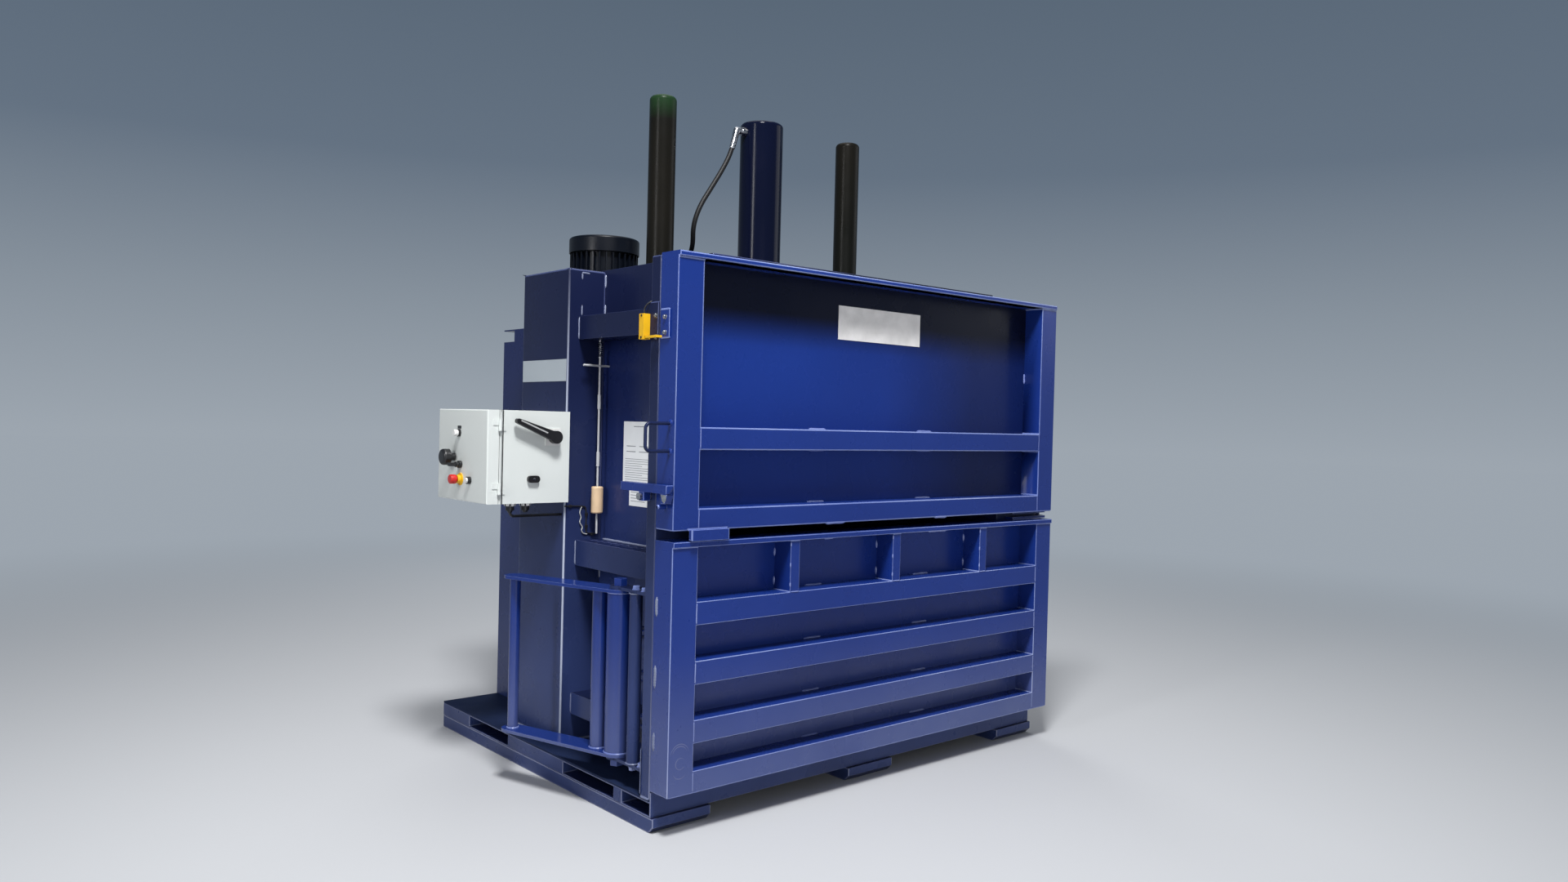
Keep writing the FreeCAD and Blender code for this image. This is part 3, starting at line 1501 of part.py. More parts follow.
def make_indicator_lamp():
    """White lens of the indicator lamp."""
    lens = lid_disc(lamp_y, lamp_z, 10.0, 26.0, 26.0)
    rims = [edge for edge in lens.Edges if edge.BoundBox.XMax < lid_outer_x - 25.9]
    return lens.makeFillet(4.0, rims)


def make_selector_lever():
    """Black selector with a long grip."""
    stem = lid_disc(selector_y, selector_z, 4.0, 24.0, button_hole)
    grip = block(lid_outer_x - 50.0, lid_outer_x - 14.0, selector_y - 8.0, selector_y + 14.0,
                 selector_z - 7.0, selector_z + 7.0)
    return stem.fuse(grip)


def make_conduit():
    """Cable conduit bent from the near gland to the column's outer face."""
    x, y = gland_places[0]
    top = box_bottom - 30.0
    low = top - conduit_drop
    route = [(x, y, top), (x, y, low), (-column_outer, y, low)]
    return bent_bar(route, conduit_bend, conduit_diameter)


# ---------------------------------------------------------------- hanging pull rod
pull_bar_z = 1680.0
spring_top = lintel_bottom - top_rail_height
spring_bottom = 1712.0
spring_end = 6.0
spring_wire = 2.4
spring_radius = 8.0
spring_half_turns = 14


def make_pull_spring():
    """Small tension spring between two end discs, under the top rail."""
    low = spring_bottom + spring_end
    high = spring_top - spring_end
    first = low + spring_wire
    half_pitch = (high - low - 2.0 * spring_wire) / spring_half_turns
    arc_radius = math.hypot(spring_radius, half_pitch / 2.0)
    edges = []
    side = 1.0
    for index in range(spring_half_turns):
        z = first + index * half_pitch
        start = V(side * spring_radius, 0, z)
        middle = V(0, side * arc_radius, z + half_pitch / 2.0)
        end = V(-side * spring_radius, 0, z + half_pitch)
        edges.append(Part.Arc(start, middle, end).toShape())
        side = -side
    ring = Part.Wire([Part.makeCircle(spring_wire / 2.0, V(spring_radius, 0, first), V(0, 1, 0))])
    coil = Part.Wire(edges).makePipeShell([ring], True, False)
    print("spring least gap", round(2.0 * half_pitch - spring_wire, 2))
    coil.translate(V(pull_x, pull_y, 0))
    lower = rod(pull_x, pull_y, spring_bottom, low + 0.3, 2.0 * spring_radius)
    upper = rod(pull_x, pull_y, high - 0.3, spring_top, 2.0 * spring_radius)
    return group([coil, lower, upper])


def make_pull_rod():
    """Long rod with a cross bar at its top and two wire whippings."""
    shaft = rod(pull_x, pull_y, pull_handle_top - pull_handle_length - pull_tail, spring_bottom,
                pull_rod_diameter)
    cross = bar_x(pull_x - pull_bar_reach, pull_x + pull_offset - 1.0, pull_y, pull_bar_z,
                  pull_rod_diameter)
    pieces = [shaft, cross]
    for drop in pull_knot_drops:
        z = pull_bar_z - drop
        pieces.append(rod(pull_x, pull_y, z, z + pull_knot_length, pull_rod_diameter + 5.0))
    return fused(pieces)


def make_pull_grip():
    """Turned cream grip on the pull rod."""
    z0 = pull_handle_top - pull_handle_length
    body = rod(pull_x, pull_y, z0, pull_handle_top, pull_handle_diameter)
    body = body.makeFillet(7.0, [edge for edge in body.Edges if edge.Closed])
    return body.cut(rod(pull_x, pull_y, z0 - 1.0, pull_handle_top + 1.0, pull_rod_diameter))


def make_blank_plates():
    """Bare plate on the left column and two bare sheets on the left wall."""
    column = block(-column_outer - sheet_thickness, -column_outer, column_front + column_steel,
                   column_back - column_steel, plate_low, plate_low + plate_height)
    wall_x = -chamber_half_width
    large = block(wall_x - sheet_thickness, wall_x, sheet_front, sheet_front + sheet_length,
                  sheet_low, sheet_low + sheet_height)
    small = block(wall_x - sheet_thickness, wall_x, card_front, card_front + card_length,
                  card_low, card_low + card_height)
    return group([column, large, small])


# ---------------------------------------------------------------- all nodes
def main():
    os.makedirs("parts", exist_ok=True)
    write("skids", make_skids())
    write("base_frame", make_base_frame())
    write("platform_plate", make_platform_plate())
    write("floor_bars", make_floor_bars())
    write("front_frame", make_front_frame())
    write("chamber_walls", make_chamber_walls())
    write("side_rails", make_side_rails())
    write("press_columns", make_press_columns())
    write("bridge", make_bridge())
    write("guide_sleeves", make_guide_sleeves())
    write("cylinder_barrel", make_cylinder_barrel())
    write("flange_bolts", make_flange_bolts())
    write("cylinder_gland", make_cylinder_gland())
    write("port_elbow", make_port_elbow())
    write("piston_rod", make_piston_rod())
    write("guide_tubes", make_guide_tubes())
    write("platen", make_platen())
    write("pressure_hose", make_pressure_hose())
    write("oil_tank", make_oil_tank())
    write("tank_lid", make_tank_lid())
    write("motor_body", make_motor_body())
    write("fan_cover", make_fan_cover())
    write("motor_rotor", make_motor_rotor())
    write("gear_pump", make_gear_pump())
    write("valve_block", make_valve_block())
    write("upper_door_frame", make_upper_door_frame())
    write("upper_door_skin", make_upper_door_skin())
    write("lower_door_frame", make_lower_door_frame())
    write("lower_door_skin", make_lower_door_skin())
    write("lock_keepers", make_lock_keepers())
    write("door_handle", make_door_handle())
    write("name_plate", make_name_plate())
    write("hinge_lugs", make_hinge_lugs())
    write("hinge_pins", make_hinge_pins())
    write("lock_lever", make_lock_lever())
    write("lock_brackets", make_lock_brackets())
    write("lock_pins", make_lock_pins())
    write("latch_lever", make_latch_lever())
    write("latch_pin", make_latch_pin())
    write("safety_switch", make_safety_switch())
    write("switch_key", make_switch_key())
    write("box_body", make_box_body())
    write("box_lid", make_box_lid())
    write("control_gear", make_control_gear())
    write("cable_glands", make_cable_glands())
    write("isolator_plate", make_isolator_plate())
    write("isolator_handle", make_isolator_handle())
    write("box_lock", make_box_lock())
    write("estop_ring", make_estop_ring())
    write("estop_head", make_estop_head())
    write("palm_button", make_palm_button())
    write("push_button", make_push_button())
    write("button_bezels", make_button_bezels())
    write("indicator_lamp", make_indicator_lamp())
    write("selector_lever", make_selector_lever())
    write("conduit", make_conduit())
    write("pull_spring", make_pull_spring())
    write("pull_rod", make_pull_rod())
    write("pull_grip", make_pull_grip())
    write("blank_plates", make_blank_plates())


main()
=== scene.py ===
import json
import math
import random

import bpy
from mathutils import Matrix, Vector


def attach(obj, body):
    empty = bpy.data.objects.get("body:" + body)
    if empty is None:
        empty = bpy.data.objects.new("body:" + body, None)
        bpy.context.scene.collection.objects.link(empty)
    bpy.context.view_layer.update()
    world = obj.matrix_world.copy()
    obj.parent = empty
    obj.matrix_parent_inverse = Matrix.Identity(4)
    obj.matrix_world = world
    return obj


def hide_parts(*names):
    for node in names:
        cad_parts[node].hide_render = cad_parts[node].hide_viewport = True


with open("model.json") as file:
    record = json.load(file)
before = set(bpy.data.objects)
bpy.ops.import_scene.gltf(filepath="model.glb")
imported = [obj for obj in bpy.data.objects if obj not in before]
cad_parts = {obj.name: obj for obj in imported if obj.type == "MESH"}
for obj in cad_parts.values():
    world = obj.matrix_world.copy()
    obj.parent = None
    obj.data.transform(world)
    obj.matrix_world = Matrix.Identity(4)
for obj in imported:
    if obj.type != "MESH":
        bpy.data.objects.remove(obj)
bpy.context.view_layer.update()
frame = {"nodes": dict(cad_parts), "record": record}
nodes = frame["nodes"]

# The frame is in metres: X to the right, Y into the machine, Z up. Places that go through
# at() are in millimetres, and their Y counts from the doors' front faces.
RUNNER_MIDDLE = 950.0
RIPPLE_SEED = 7
random.seed(RIPPLE_SEED)


def at(x, y, z):
    """A point in the row frame, in metres."""
    return Vector((x / 1000.0, (y - RUNNER_MIDDLE) / 1000.0, z / 1000.0))


# ---------------------------------------------------------------- camera
SENSOR_WIDTH = 36.0
PHOTO_WIDTH = 1920.0
FOCAL_PIXELS = 1350.65
CAMERA_PLACE = (-3307.59, -3105.38, 1455.65)
CAMERA_RIGHT = (0.75350452, -0.65697298, 0.02484841)
CAMERA_UP = (-0.00883324, 0.02767547, 0.99957793)
CAMERA_BACK = (-0.65738338, -0.75340598, 0.01505039)


def make_camera():
    """The photograph's camera: a level wide view of the front left corner."""
    data = bpy.data.cameras.new("camera")
    data.sensor_width = SENSOR_WIDTH
    data.lens = SENSOR_WIDTH * FOCAL_PIXELS / PHOTO_WIDTH
    data.clip_start = 0.05
    data.clip_end = 200.0
    camera = bpy.data.objects.new("camera", data)
    turn = Matrix((CAMERA_RIGHT, CAMERA_UP, CAMERA_BACK)).transposed()
    camera.matrix_world = Matrix.Translation(at(*CAMERA_PLACE)) @ turn.to_4x4()
    bpy.context.scene.collection.objects.link(camera)
    bpy.context.scene.camera = camera


# ---------------------------------------------------------------- shader helpers
def new_material(name, color, roughness, metallic=0.0, specular=0.5):
    """A material; returns it, its node tree and its Principled shader."""
    material = bpy.data.materials.new(name)
    material.use_nodes = True
    tree = material.node_tree
    shader = tree.nodes["Principled BSDF"]
    shader.inputs["Base Color"].default_value = (*color, 1.0)
    shader.inputs["Roughness"].default_value = roughness
    shader.inputs["Metallic"].default_value = metallic
    shader.inputs["Specular IOR Level"].default_value = specular
    return material, tree, shader


def coordinate(tree, kind, axis):
    """One axis of the object's coordinates, its normals or the sky's direction."""
    coords = tree.nodes.new("ShaderNodeTexCoord")
    split = tree.nodes.new("ShaderNodeSeparateXYZ")
    tree.links.new(coords.outputs[kind], split.inputs["Vector"])
    return split.outputs[axis]


def noise(tree, scale, detail, stretch=(1.0, 1.0, 1.0)):
    """Noise in object coordinates; returns its factor socket."""
    coords = tree.nodes.new("ShaderNodeTexCoord")
    mapping = tree.nodes.new("ShaderNodeMapping")
    mapping.inputs["Scale"].default_value = stretch
    texture = tree.nodes.new("ShaderNodeTexNoise")
    texture.inputs["Scale"].default_value = scale
    texture.inputs["Detail"].default_value = detail
    tree.links.new(coords.outputs["Object"], mapping.inputs["Vector"])
    tree.links.new(mapping.outputs["Vector"], texture.inputs["Vector"])
    return texture.outputs["Fac"]


def ramp(tree, source, low, high, first, last):
    """A colour ramp between two places of a factor."""
    node = tree.nodes.new("ShaderNodeValToRGB")
    node.color_ramp.elements[0].position = low
    node.color_ramp.elements[0].color = (*first, 1.0)
    node.color_ramp.elements[1].position = high
    node.color_ramp.elements[1].color = (*last, 1.0)
    tree.links.new(source, node.inputs["Fac"])
    return node.outputs["Color"]


def rescaled(tree, source, start, end, smooth=False):
    """A factor taken from one range, given as (low, high), to another."""
    node = tree.nodes.new("ShaderNodeMapRange")
    if smooth:
        node.interpolation_type = "SMOOTHSTEP"
    node.inputs["From Min"].default_value = start[0]
    node.inputs["From Max"].default_value = start[1]
    node.inputs["To Min"].default_value = end[0]
    node.inputs["To Max"].default_value = end[1]
    tree.links.new(source, node.inputs["Value"])
    return node.outputs["Result"]


def past(tree, axis, edge):
    """0 before an edge, given as (start, end) in metres along an axis, and 1 past it."""
    return rescaled(tree, coordinate(tree, "Object", axis), edge, (0.0, 1.0))


def maths(tree, operation, first, second=None, clamp=False):
    """A math node's result; its second input is a socket or a plain number."""
    node = tree.nodes.new("ShaderNodeMath")
    node.operation = operation
    node.use_clamp = clamp
    tree.links.new(first, node.inputs[0])
    if isinstance(second, float):
        node.inputs[1].default_value = second
    elif second is not None:
        tree.links.new(second, node.inputs[1])
    return node.outputs["Value"]


def product(tree, first, *others):
    """The product of several factor sockets."""
    for other in others:
        first = maths(tree, "MULTIPLY", first, other)
    return first


def mixed(tree, factor, first, last):
    """Mixes two colour sockets or colours by a factor socket."""
    node = tree.nodes.new("ShaderNodeMix")
    node.data_type = "RGBA"
    tree.links.new(factor, node.inputs["Factor"])
    for socket, value in ((node.inputs[6], first), (node.inputs[7], last)):
        if isinstance(value, tuple):
            socket.default_value = (*value, 1.0)
        else:
            tree.links.new(value, socket)
    return node.outputs[2]


def bump(tree, shader, source, strength, distance):
    """Adds a bump from a factor."""
    node = tree.nodes.new("ShaderNodeBump")
    node.inputs["Strength"].default_value = strength
    node.inputs["Distance"].default_value = distance
    tree.links.new(source, node.inputs["Height"])
    tree.links.new(node.outputs["Normal"], shader.inputs["Normal"])


def roughened(tree, shader, source, low, high):
    """Uneven gloss: the middle of a noise factor spread over a range of roughness."""
    tree.links.new(rescaled(tree, source, (0.3, 0.7), (low, high)), shader.inputs["Roughness"])


# ---------------------------------------------------------------- materials
# Up to this height, in metres, the paler low tone of pale dust and painted floor light is at its
# strongest.
DUST_AND_LIGHT_FOOT = 0.05


def dust_and_floor_light(tree, color, top, share, dust_and_light_tone):
    """A paler tone on upright faces, stronger towards the floor: pale dust on most paints, and on
    the frame and walls a lighter blue that is painted light from the floor.
    """
    fall = rescaled(tree, coordinate(tree, "Object", "Z"), (DUST_AND_LIGHT_FOOT, top), (share, 0.0),
                    smooth=True)
    patchy = rescaled(tree, noise(tree, 2.6, 5.0), (0.25, 0.75), (0.65, 1.20))
    level = maths(tree, "ABSOLUTE", coordinate(tree, "Normal", "Z"))
    upright_face = rescaled(tree, level, (0.0, 1.0), (1.0, 0.05))
    return mixed(tree, product(tree, fall, patchy, upright_face), color, dust_and_light_tone)


def painted_corner_highlight(tree, color):
    """A painted highlight on the columns' outer upright corners: a paler tone where they turn,
    fainter upwards.
    """
    turn = product(tree, coordinate(tree, "Normal", "X"), coordinate(tree, "Normal", "Y"))
    highlight_share = rescaled(tree, product(tree, turn, turn), (0.010, 0.120), (0.0, 1.0))
    width = maths(tree, "ABSOLUTE", coordinate(tree, "Object", "X"))
    outer = maths(tree, "GREATER_THAN", width, 0.95)
    lower = rescaled(tree, coordinate(tree, "Object", "Z"), (1.30, 2.05), (1.0, 0.06))
    return mixed(tree, product(tree, highlight_share, outer, lower), color, (0.420, 0.460, 0.580))


def green_end(tree, color):
    """A greenish upper end on the left guide tube."""
    left = past(tree, "X", (0.10, -0.10))
    high = past(tree, "Z", (2.76, 2.85))
    return mixed(tree, product(tree, left, high), color, (0.011, 0.030, 0.012))


def painted_skin_shade(tree, color):
    """Painted shade on the upper door's skin in front: a dark band under the top flange, and
    darker towards the hinges on the right.
    """
    front = maths(tree, "LESS_THAN", coordinate(tree, "Normal", "Y"), -0.5)
    right = product(tree, past(tree, "X", (0.05, 0.60)), front)
    high = product(tree, past(tree, "Z", (1.75, 1.88)), front)
    hinge_side_shade = mixed(tree, right, color, (0.0060, 0.0150, 0.0900))
    return mixed(tree, high, hinge_side_shade, (0.0030, 0.0048, 0.0190))


def paint(name, color, shade, roughness=(0.20, 0.36), peel=0.10, specular=0.35,
          dust_and_light_tone=(0.120, 0.150, 0.300), dust_and_light_share=0.62, dust_and_light_top=0.72, over=None):
    """Sprayed gloss paint with cloudy tone, uneven gloss, orange peel, scuffs, and a paler tone
    low down: pale dust on most paints, painted floor light on the frame and walls.

    What only one piece has on its paint comes from over, which turns a colour into another.
    """
    material, tree, shader = new_material(name, color, roughness[0], specular=specular)
    cloud = ramp(tree, noise(tree, 1.1, 3.0), 0.30, 0.75, shade, color)
    scuffs = ramp(tree, noise(tree, 21.0, 7.0, (1.0, 1.0, 0.35)), 0.70, 0.78,
                  (0.0, 0.0, 0.0), (0.30, 0.30, 0.30))
    lighter = tuple(min(1.0, 1.5 * c + 0.012) for c in color)
    worn = mixed(tree, scuffs, cloud, lighter)
    if dust_and_light_share > 0.0:
        worn = dust_and_floor_light(tree, worn, dust_and_light_top, dust_and_light_share, dust_and_light_tone)
    if over is not None:
        worn = over(tree, worn)
    tree.links.new(worn, shader.inputs["Base Color"])
    roughened(tree, shader, noise(tree, 6.0, 6.0), *roughness)
    bump(tree, shader, noise(tree, 160.0, 2.0), peel, 0.0012)
    return material


def metal(name, color, roughness):
    """Bare or plated metal with fine uneven polish."""
    material, tree, shader = new_material(name, color, roughness, metallic=1.0)
    dark = tuple(0.55 * c for c in color)
    tree.links.new(ramp(tree, noise(tree, 35.0, 6.0), 0.25, 0.7, dark, color),
                   shader.inputs["Base Color"])
    roughened(tree, shader, noise(tree, 60.0, 4.0), roughness * 0.7, roughness * 1.4)
    bump(tree, shader, noise(tree, 240.0, 3.0), 0.12, 0.0006)
    return material


def plastic(name, color, roughness, specular=0.5):
    """A plain surface, such as moulded plastic or rubber, with a faint grain."""
    material, tree, shader = new_material(name, color, roughness, specular=specular)
    shade = tuple(0.8 * c for c in color)
    tree.links.new(ramp(tree, noise(tree, 14.0, 4.0), 0.3, 0.7, shade, color),
                   shader.inputs["Base Color"])
    bump(tree, shader, noise(tree, 900.0, 2.0), 0.08, 0.0003)
    return material


def plate_paint():
    """White sheets on the wall and a grey plate on the column, in one material."""
    material, tree, shader = new_material("plates", (0.90, 0.91, 0.92), 0.34)
    patchy = ramp(tree, noise(tree, 9.0, 4.0), 0.3, 0.7, (0.84, 0.86, 0.88), (0.92, 0.93, 0.94))
    tone = mixed(tree, past(tree, "X", (-0.94, -0.90)), (0.36, 0.40, 0.44), patchy)
    tree.links.new(tone, shader.inputs["Base Color"])
    return material


# The doors' blue, and a darker copy of it, which is painted shade, for the blue frame behind them
# and the upper door's handle.
BLUE = dict(color=(0.0095, 0.0340, 0.2250), shade=(0.0080, 0.0270, 0.1800))
# On the frame, the lighter blue towards the floor is painted light from the floor.
SHADED_FRAME_BLUE = dict(color=(0.0090, 0.0140, 0.0560), shade=(0.0065, 0.0100, 0.0360),
                  roughness=(0.22, 0.38), specular=0.18, dust_and_light_tone=(0.038, 0.060, 0.180),
                  dust_and_light_share=0.85, dust_and_light_top=1.95)
PAINTS = {
    "blue_paint": BLUE,
    # The door's blue, with painted shade on the front of the upper skin.
    "door_skin": dict(BLUE, specular=0.18, over=painted_skin_shade),
    # The chamber walls: a darker copy of the blue, which is painted shade, lighter towards the
    # floor with painted floor light.
    "wall_paint": dict(color=(0.0090, 0.0180, 0.0950), shade=(0.0065, 0.0130, 0.0660),
                       roughness=(0.20, 0.34), specular=0.22, dust_and_light_tone=(0.038, 0.060, 0.190),
                       dust_and_light_share=0.85, dust_and_light_top=1.90),
    "frame_paint": SHADED_FRAME_BLUE,
    "floor_paint": dict(color=(0.018, 0.029, 0.078), shade=(0.012, 0.020, 0.054),
                        roughness=(0.50, 0.66), peel=0.20, specular=0.06, dust_and_light_share=0.0),
    # The columns: the frame's darker blue, with a painted highlight on their outer corners.
    "column_paint": dict(SHADED_FRAME_BLUE, over=painted_corner_highlight),
    "lever_paint": dict(color=(0.0100, 0.0330, 0.2050), shade=(0.0080, 0.0250, 0.1600),
                        roughness=(0.10, 0.18), peel=0.05, specular=0.50),
    # Paler blues for rounded edges: partly rubbed paint, partly a painted highlight.
    "edge_paint": dict(color=(0.280, 0.340, 0.560), shade=(0.090, 0.135, 0.400),
                       roughness=(0.16, 0.26), peel=0.06, specular=0.60,
                       dust_and_light_tone=(0.40, 0.43, 0.58)),
    "frame_edge": dict(color=(0.075, 0.092, 0.205), shade=(0.030, 0.040, 0.110),
                       roughness=(0.16, 0.26), peel=0.06, specular=0.60,
                       dust_and_light_tone=(0.26, 0.29, 0.44)),
    "navy_paint": dict(color=(0.0032, 0.0050, 0.0190), shade=(0.0022, 0.0034, 0.0120),
                       roughness=(0.13, 0.20), peel=0.04, specular=0.13, dust_and_light_share=0.0),
    "black_paint": dict(color=(0.0035, 0.0055, 0.0110), shade=(0.0020, 0.0032, 0.0065),
                        roughness=(0.28, 0.42), specular=0.20, dust_and_light_share=0.0),
    "black_steel": dict(color=(0.0042, 0.0050, 0.0044), shade=(0.0095, 0.0080, 0.0060),
                        roughness=(0.24, 0.38), peel=0.06, specular=0.10, dust_and_light_share=0.0,
                        over=green_end),
    "grey_paint": dict(color=(0.68, 0.715, 0.700), shade=(0.62, 0.655, 0.640),
                       roughness=(0.30, 0.42), specular=0.16, dust_and_light_share=0.0),
    # The beads' paler blue is a painted highlight on them.
    "weld": dict(color=(0.260, 0.310, 0.560), shade=(0.110, 0.150, 0.400),
                 roughness=(0.14, 0.26), peel=0.30, specular=0.6),
    "frame_weld": dict(color=(0.260, 0.290, 0.400), shade=(0.110, 0.130, 0.220),
                       roughness=(0.14, 0.26), peel=0.30, specular=0.6),
    "scuff": dict(color=(0.180, 0.200, 0.340), shade=(0.090, 0.105, 0.240),
                  roughness=(0.30, 0.45), peel=0.2, specular=0.3),
}
# Colour and roughness of each plain material.
PLASTICS = {
    "rod_steel": ((0.50, 0.51, 0.54), 0.34),
    "black_plastic": ((0.012, 0.012, 0.014), 0.38),
    "red_plastic": ((0.58, 0.022, 0.018), 0.28),
    "yellow_plastic": ((0.80, 0.46, 0.012), 0.36),
    "white_plastic": ((0.82, 0.82, 0.80), 0.30),
    "cream_plastic": ((0.72, 0.52, 0.33), 0.34),
    "control_mix": ((0.30, 0.31, 0.33), 0.5),
    "paper": ((0.93, 0.91, 0.90), 0.42),
    "ink": ((0.30, 0.31, 0.34), 0.6),
    "gasket": ((0.020, 0.020, 0.021), 0.55),
    "gland_grey": ((0.42, 0.43, 0.43), 0.40),
    # Near-black whose darkness is a painted shade of holes.
    "painted_hole_shade": ((0.004, 0.004, 0.005), 0.70),
}
materials = {name: paint(name, **look) for name, look in PAINTS.items()}
materials.update({name: plastic(name, *look) for name, look in PLASTICS.items()})
materials["hose_rubber"] = plastic("hose_rubber", (0.009, 0.009, 0.010), 0.50, specular=0.25)
materials["bright_steel"] = metal("bright_steel", (0.62, 0.62, 0.64), 0.26)
materials["pale_plate"] = plate_paint()


# ---------------------------------------------------------------- mesh helpers
# Smooth shading stops at edges over the first angle on CAD nodes and over the second on
# small pieces; edges over the third get a bevel.
CAD_SHARP = math.radians(32.0)
PILE_SHARP = math.radians(35.0)
BEVEL_SHARP = math.radians(40.0)
# In metres: how near CAD points are joined, how thick a washer is, how deep beads sink into
# the faces that they stand on, and the steps of a ring bead.
MERGE_DISTANCE = 0.00002
WASHER = 0.0016
SUNK = 0.0004
RING_SUNK = 0.0006
RING_STEP = 0.0026
# Shares: a washer's radius of a head's width, a head's upright part of its height, its top
# of its radius, a bead's height of its half width, and a bead's steps of its ripple.
WASHER_REACH = 0.68
HEAD_UPRIGHT = 0.8
HEAD_TOP = 0.86
BEAD_RISE = 0.62
BEAD_STEP = 0.34


def circle(axis, count):
    """Unit vectors round an axis, evenly spaced."""
    side = axis.orthogonal().normalized()
    other = axis.cross(side)
    angles = [2.0 * math.pi * k / count for k in range(count)]
    return [side * math.cos(angle) + other * math.sin(angle) for angle in angles]


class Pile:
    """Gathers small shapes of one body and material into one mesh object."""

    def __init__(self, name, body, slot):
        self.name = name
        self.body = body
        self.slot = slot
        self.points = []
        self.faces = []

    def ring_stack(self, rings):
        """Joins equal rings of points into a skin, with both ends capped."""
        base = len(self.points)
        count = len(rings[0])
        for ring in rings:
            self.points.extend(ring)
        for row in range(len(rings) - 1):
            for k in range(count):
                a = base + row * count + k
                b = base + row * count + (k + 1) % count
                self.faces.append((a, b, b + count, a + count))
        last = base + (len(rings) - 1) * count
        self.faces.append(tuple(base + k for k in reversed(range(count))))
        self.faces.append(tuple(last + k for k in range(count)))

    def turned(self, centre, axis, profile, sides):
        """A shape turned about an axis; profile lists (distance along it, radius)."""
        axis = axis.normalized()
        spokes = circle(axis, sides)
        self.ring_stack([[centre + axis * along + spoke * radius for spoke in spokes]
                         for along, radius in profile])

    def bolt(self, centre, axis, across, height):
        """A hexagonal head with a chamfered top on a washer."""
        radius = across / math.sqrt(3.0)
        reach = across * WASHER_REACH
        self.turned(centre, axis, [(0.0, reach), (WASHER, reach)], 24)
        self.turned(centre, axis, [(WASHER, radius), (WASHER + height * HEAD_UPRIGHT, radius),
                                   (WASHER + height, radius * HEAD_TOP)], 6)

    def block(self, low, high):
        """An upright block between two corners."""
        self.ring_stack([[Vector((low.x, low.y, z)), Vector((high.x, low.y, z)),
                          Vector((high.x, high.y, z)), Vector((low.x, high.y, z))]
                         for z in (low.z, high.z)])

    def weld(self, start, end, outward, width, ripple):
        """A scalloped bead along a line, standing up towards outward."""
        run = end - start
        length = run.length
        along = run.normalized()
        outward = outward.normalized()
        across = along.cross(outward).normalized()
        steps = max(4, int(length / (ripple * BEAD_STEP)))
        drift = random.uniform(0.0, 6.0)
        rings = []
        for i in range(steps + 1):
            s = length * i / steps
            scallop = abs(math.sin(math.pi * s / ripple + drift))
            taper = min(1.0, 0.3 + 0.5 * min(i, steps - i) / steps * length / width)
            size = width * (0.74 + 0.26 * scallop) * taper
            wander = 0.10 * width * math.sin(s * 90.0 + drift * 5.0)
            centre = start + along * s + across * wander
            ring = []
            for k in range(7):
                angle = math.pi * k / 6.0
                ring.append(centre + across * (math.cos(angle) * size)
                            + outward * (math.sin(angle) * size * BEAD_RISE - SUNK))
            rings.append(ring)
        self.ring_stack(rings)

    def ring_weld(self, centre, axis, radius, width):
        """A scalloped bead round a tube that stands on a plate; axis points off the plate."""
        axis = axis.normalized()
        around = max(36, int(2.0 * math.pi * radius / RING_STEP))
        inner = radius - RING_SUNK
        base = len(self.points)
        for i, spoke in enumerate(circle(axis, around)):
            size = width * (0.78 + 0.22 * abs(math.sin(i * 1.35)))
            for k in range(5):
                turn = math.pi * 0.5 * k / 4.0
                self.points.append(centre + spoke * (inner + size * math.cos(turn))
                                   + axis * (size * math.sin(turn)))
            self.points.append(centre + spoke * inner - axis * SUNK)
        for i in range(around):
            here = base + i * 6
            there = base + ((i + 1) % around) * 6
            for k in range(6):
                beside = (k + 1) % 6
                self.faces.append((here + k, here + beside, there + beside, there + k))

    def finish(self, smooth=True, bevel=0.0):
        """Makes the mesh object and hangs it on its body."""
        mesh = bpy.data.meshes.new(self.name)
        mesh.from_pydata([tuple(p) for p in self.points], [], self.faces)
        mesh.update()
        made = bpy.data.objects.new(self.name, mesh)
        bpy.context.scene.collection.objects.link(made)
        mesh.materials.append(materials[self.slot])
        if smooth:
            shade_by_angle(made, PILE_SHARP)
        if bevel > 0.0:
            round_edges(made, bevel)
        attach(made, self.body)


def shade_by_angle(thing, angle):
    """Smooth shading that keeps edges sharper than an angle."""
    mesh = thing.data
    mesh.polygons.foreach_set("use_smooth", [True] * len(mesh.polygons))
    mesh.set_sharp_from_angle(angle=angle)


def joined_faces():
    """Node group that joins the CAD faces along their edges and keeps sharp edges sharp."""
    group = bpy.data.node_groups.new("joined_faces", "GeometryNodeTree")
    group.interface.new_socket("Geometry", in_out="INPUT", socket_type="NodeSocketGeometry")
    group.interface.new_socket("Geometry", in_out="OUTPUT", socket_type="NodeSocketGeometry")
    start = group.nodes.new("NodeGroupInput")
    merge = group.nodes.new("GeometryNodeMergeByDistance")
    merge.inputs["Distance"].default_value = MERGE_DISTANCE
    bend = group.nodes.new("GeometryNodeInputMeshEdgeAngle")
    sharp = group.nodes.new("FunctionNodeCompare")
    sharp.operation = "GREATER_THAN"
    sharp.inputs[1].default_value = CAD_SHARP
    shade = group.nodes.new("GeometryNodeSetShadeSmooth")
    shade.domain = "EDGE"
    shade.inputs["Shade Smooth"].default_value = False
    end = group.nodes.new("NodeGroupOutput")
    group.links.new(start.outputs["Geometry"], merge.inputs["Geometry"])
    group.links.new(bend.outputs["Unsigned Angle"], sharp.inputs[0])
    group.links.new(merge.outputs["Geometry"], shade.inputs["Geometry"])
    group.links.new(sharp.outputs["Result"], shade.inputs["Selection"])
    group.links.new(shade.outputs["Geometry"], end.inputs["Geometry"])
    return group


JOINED = joined_faces()


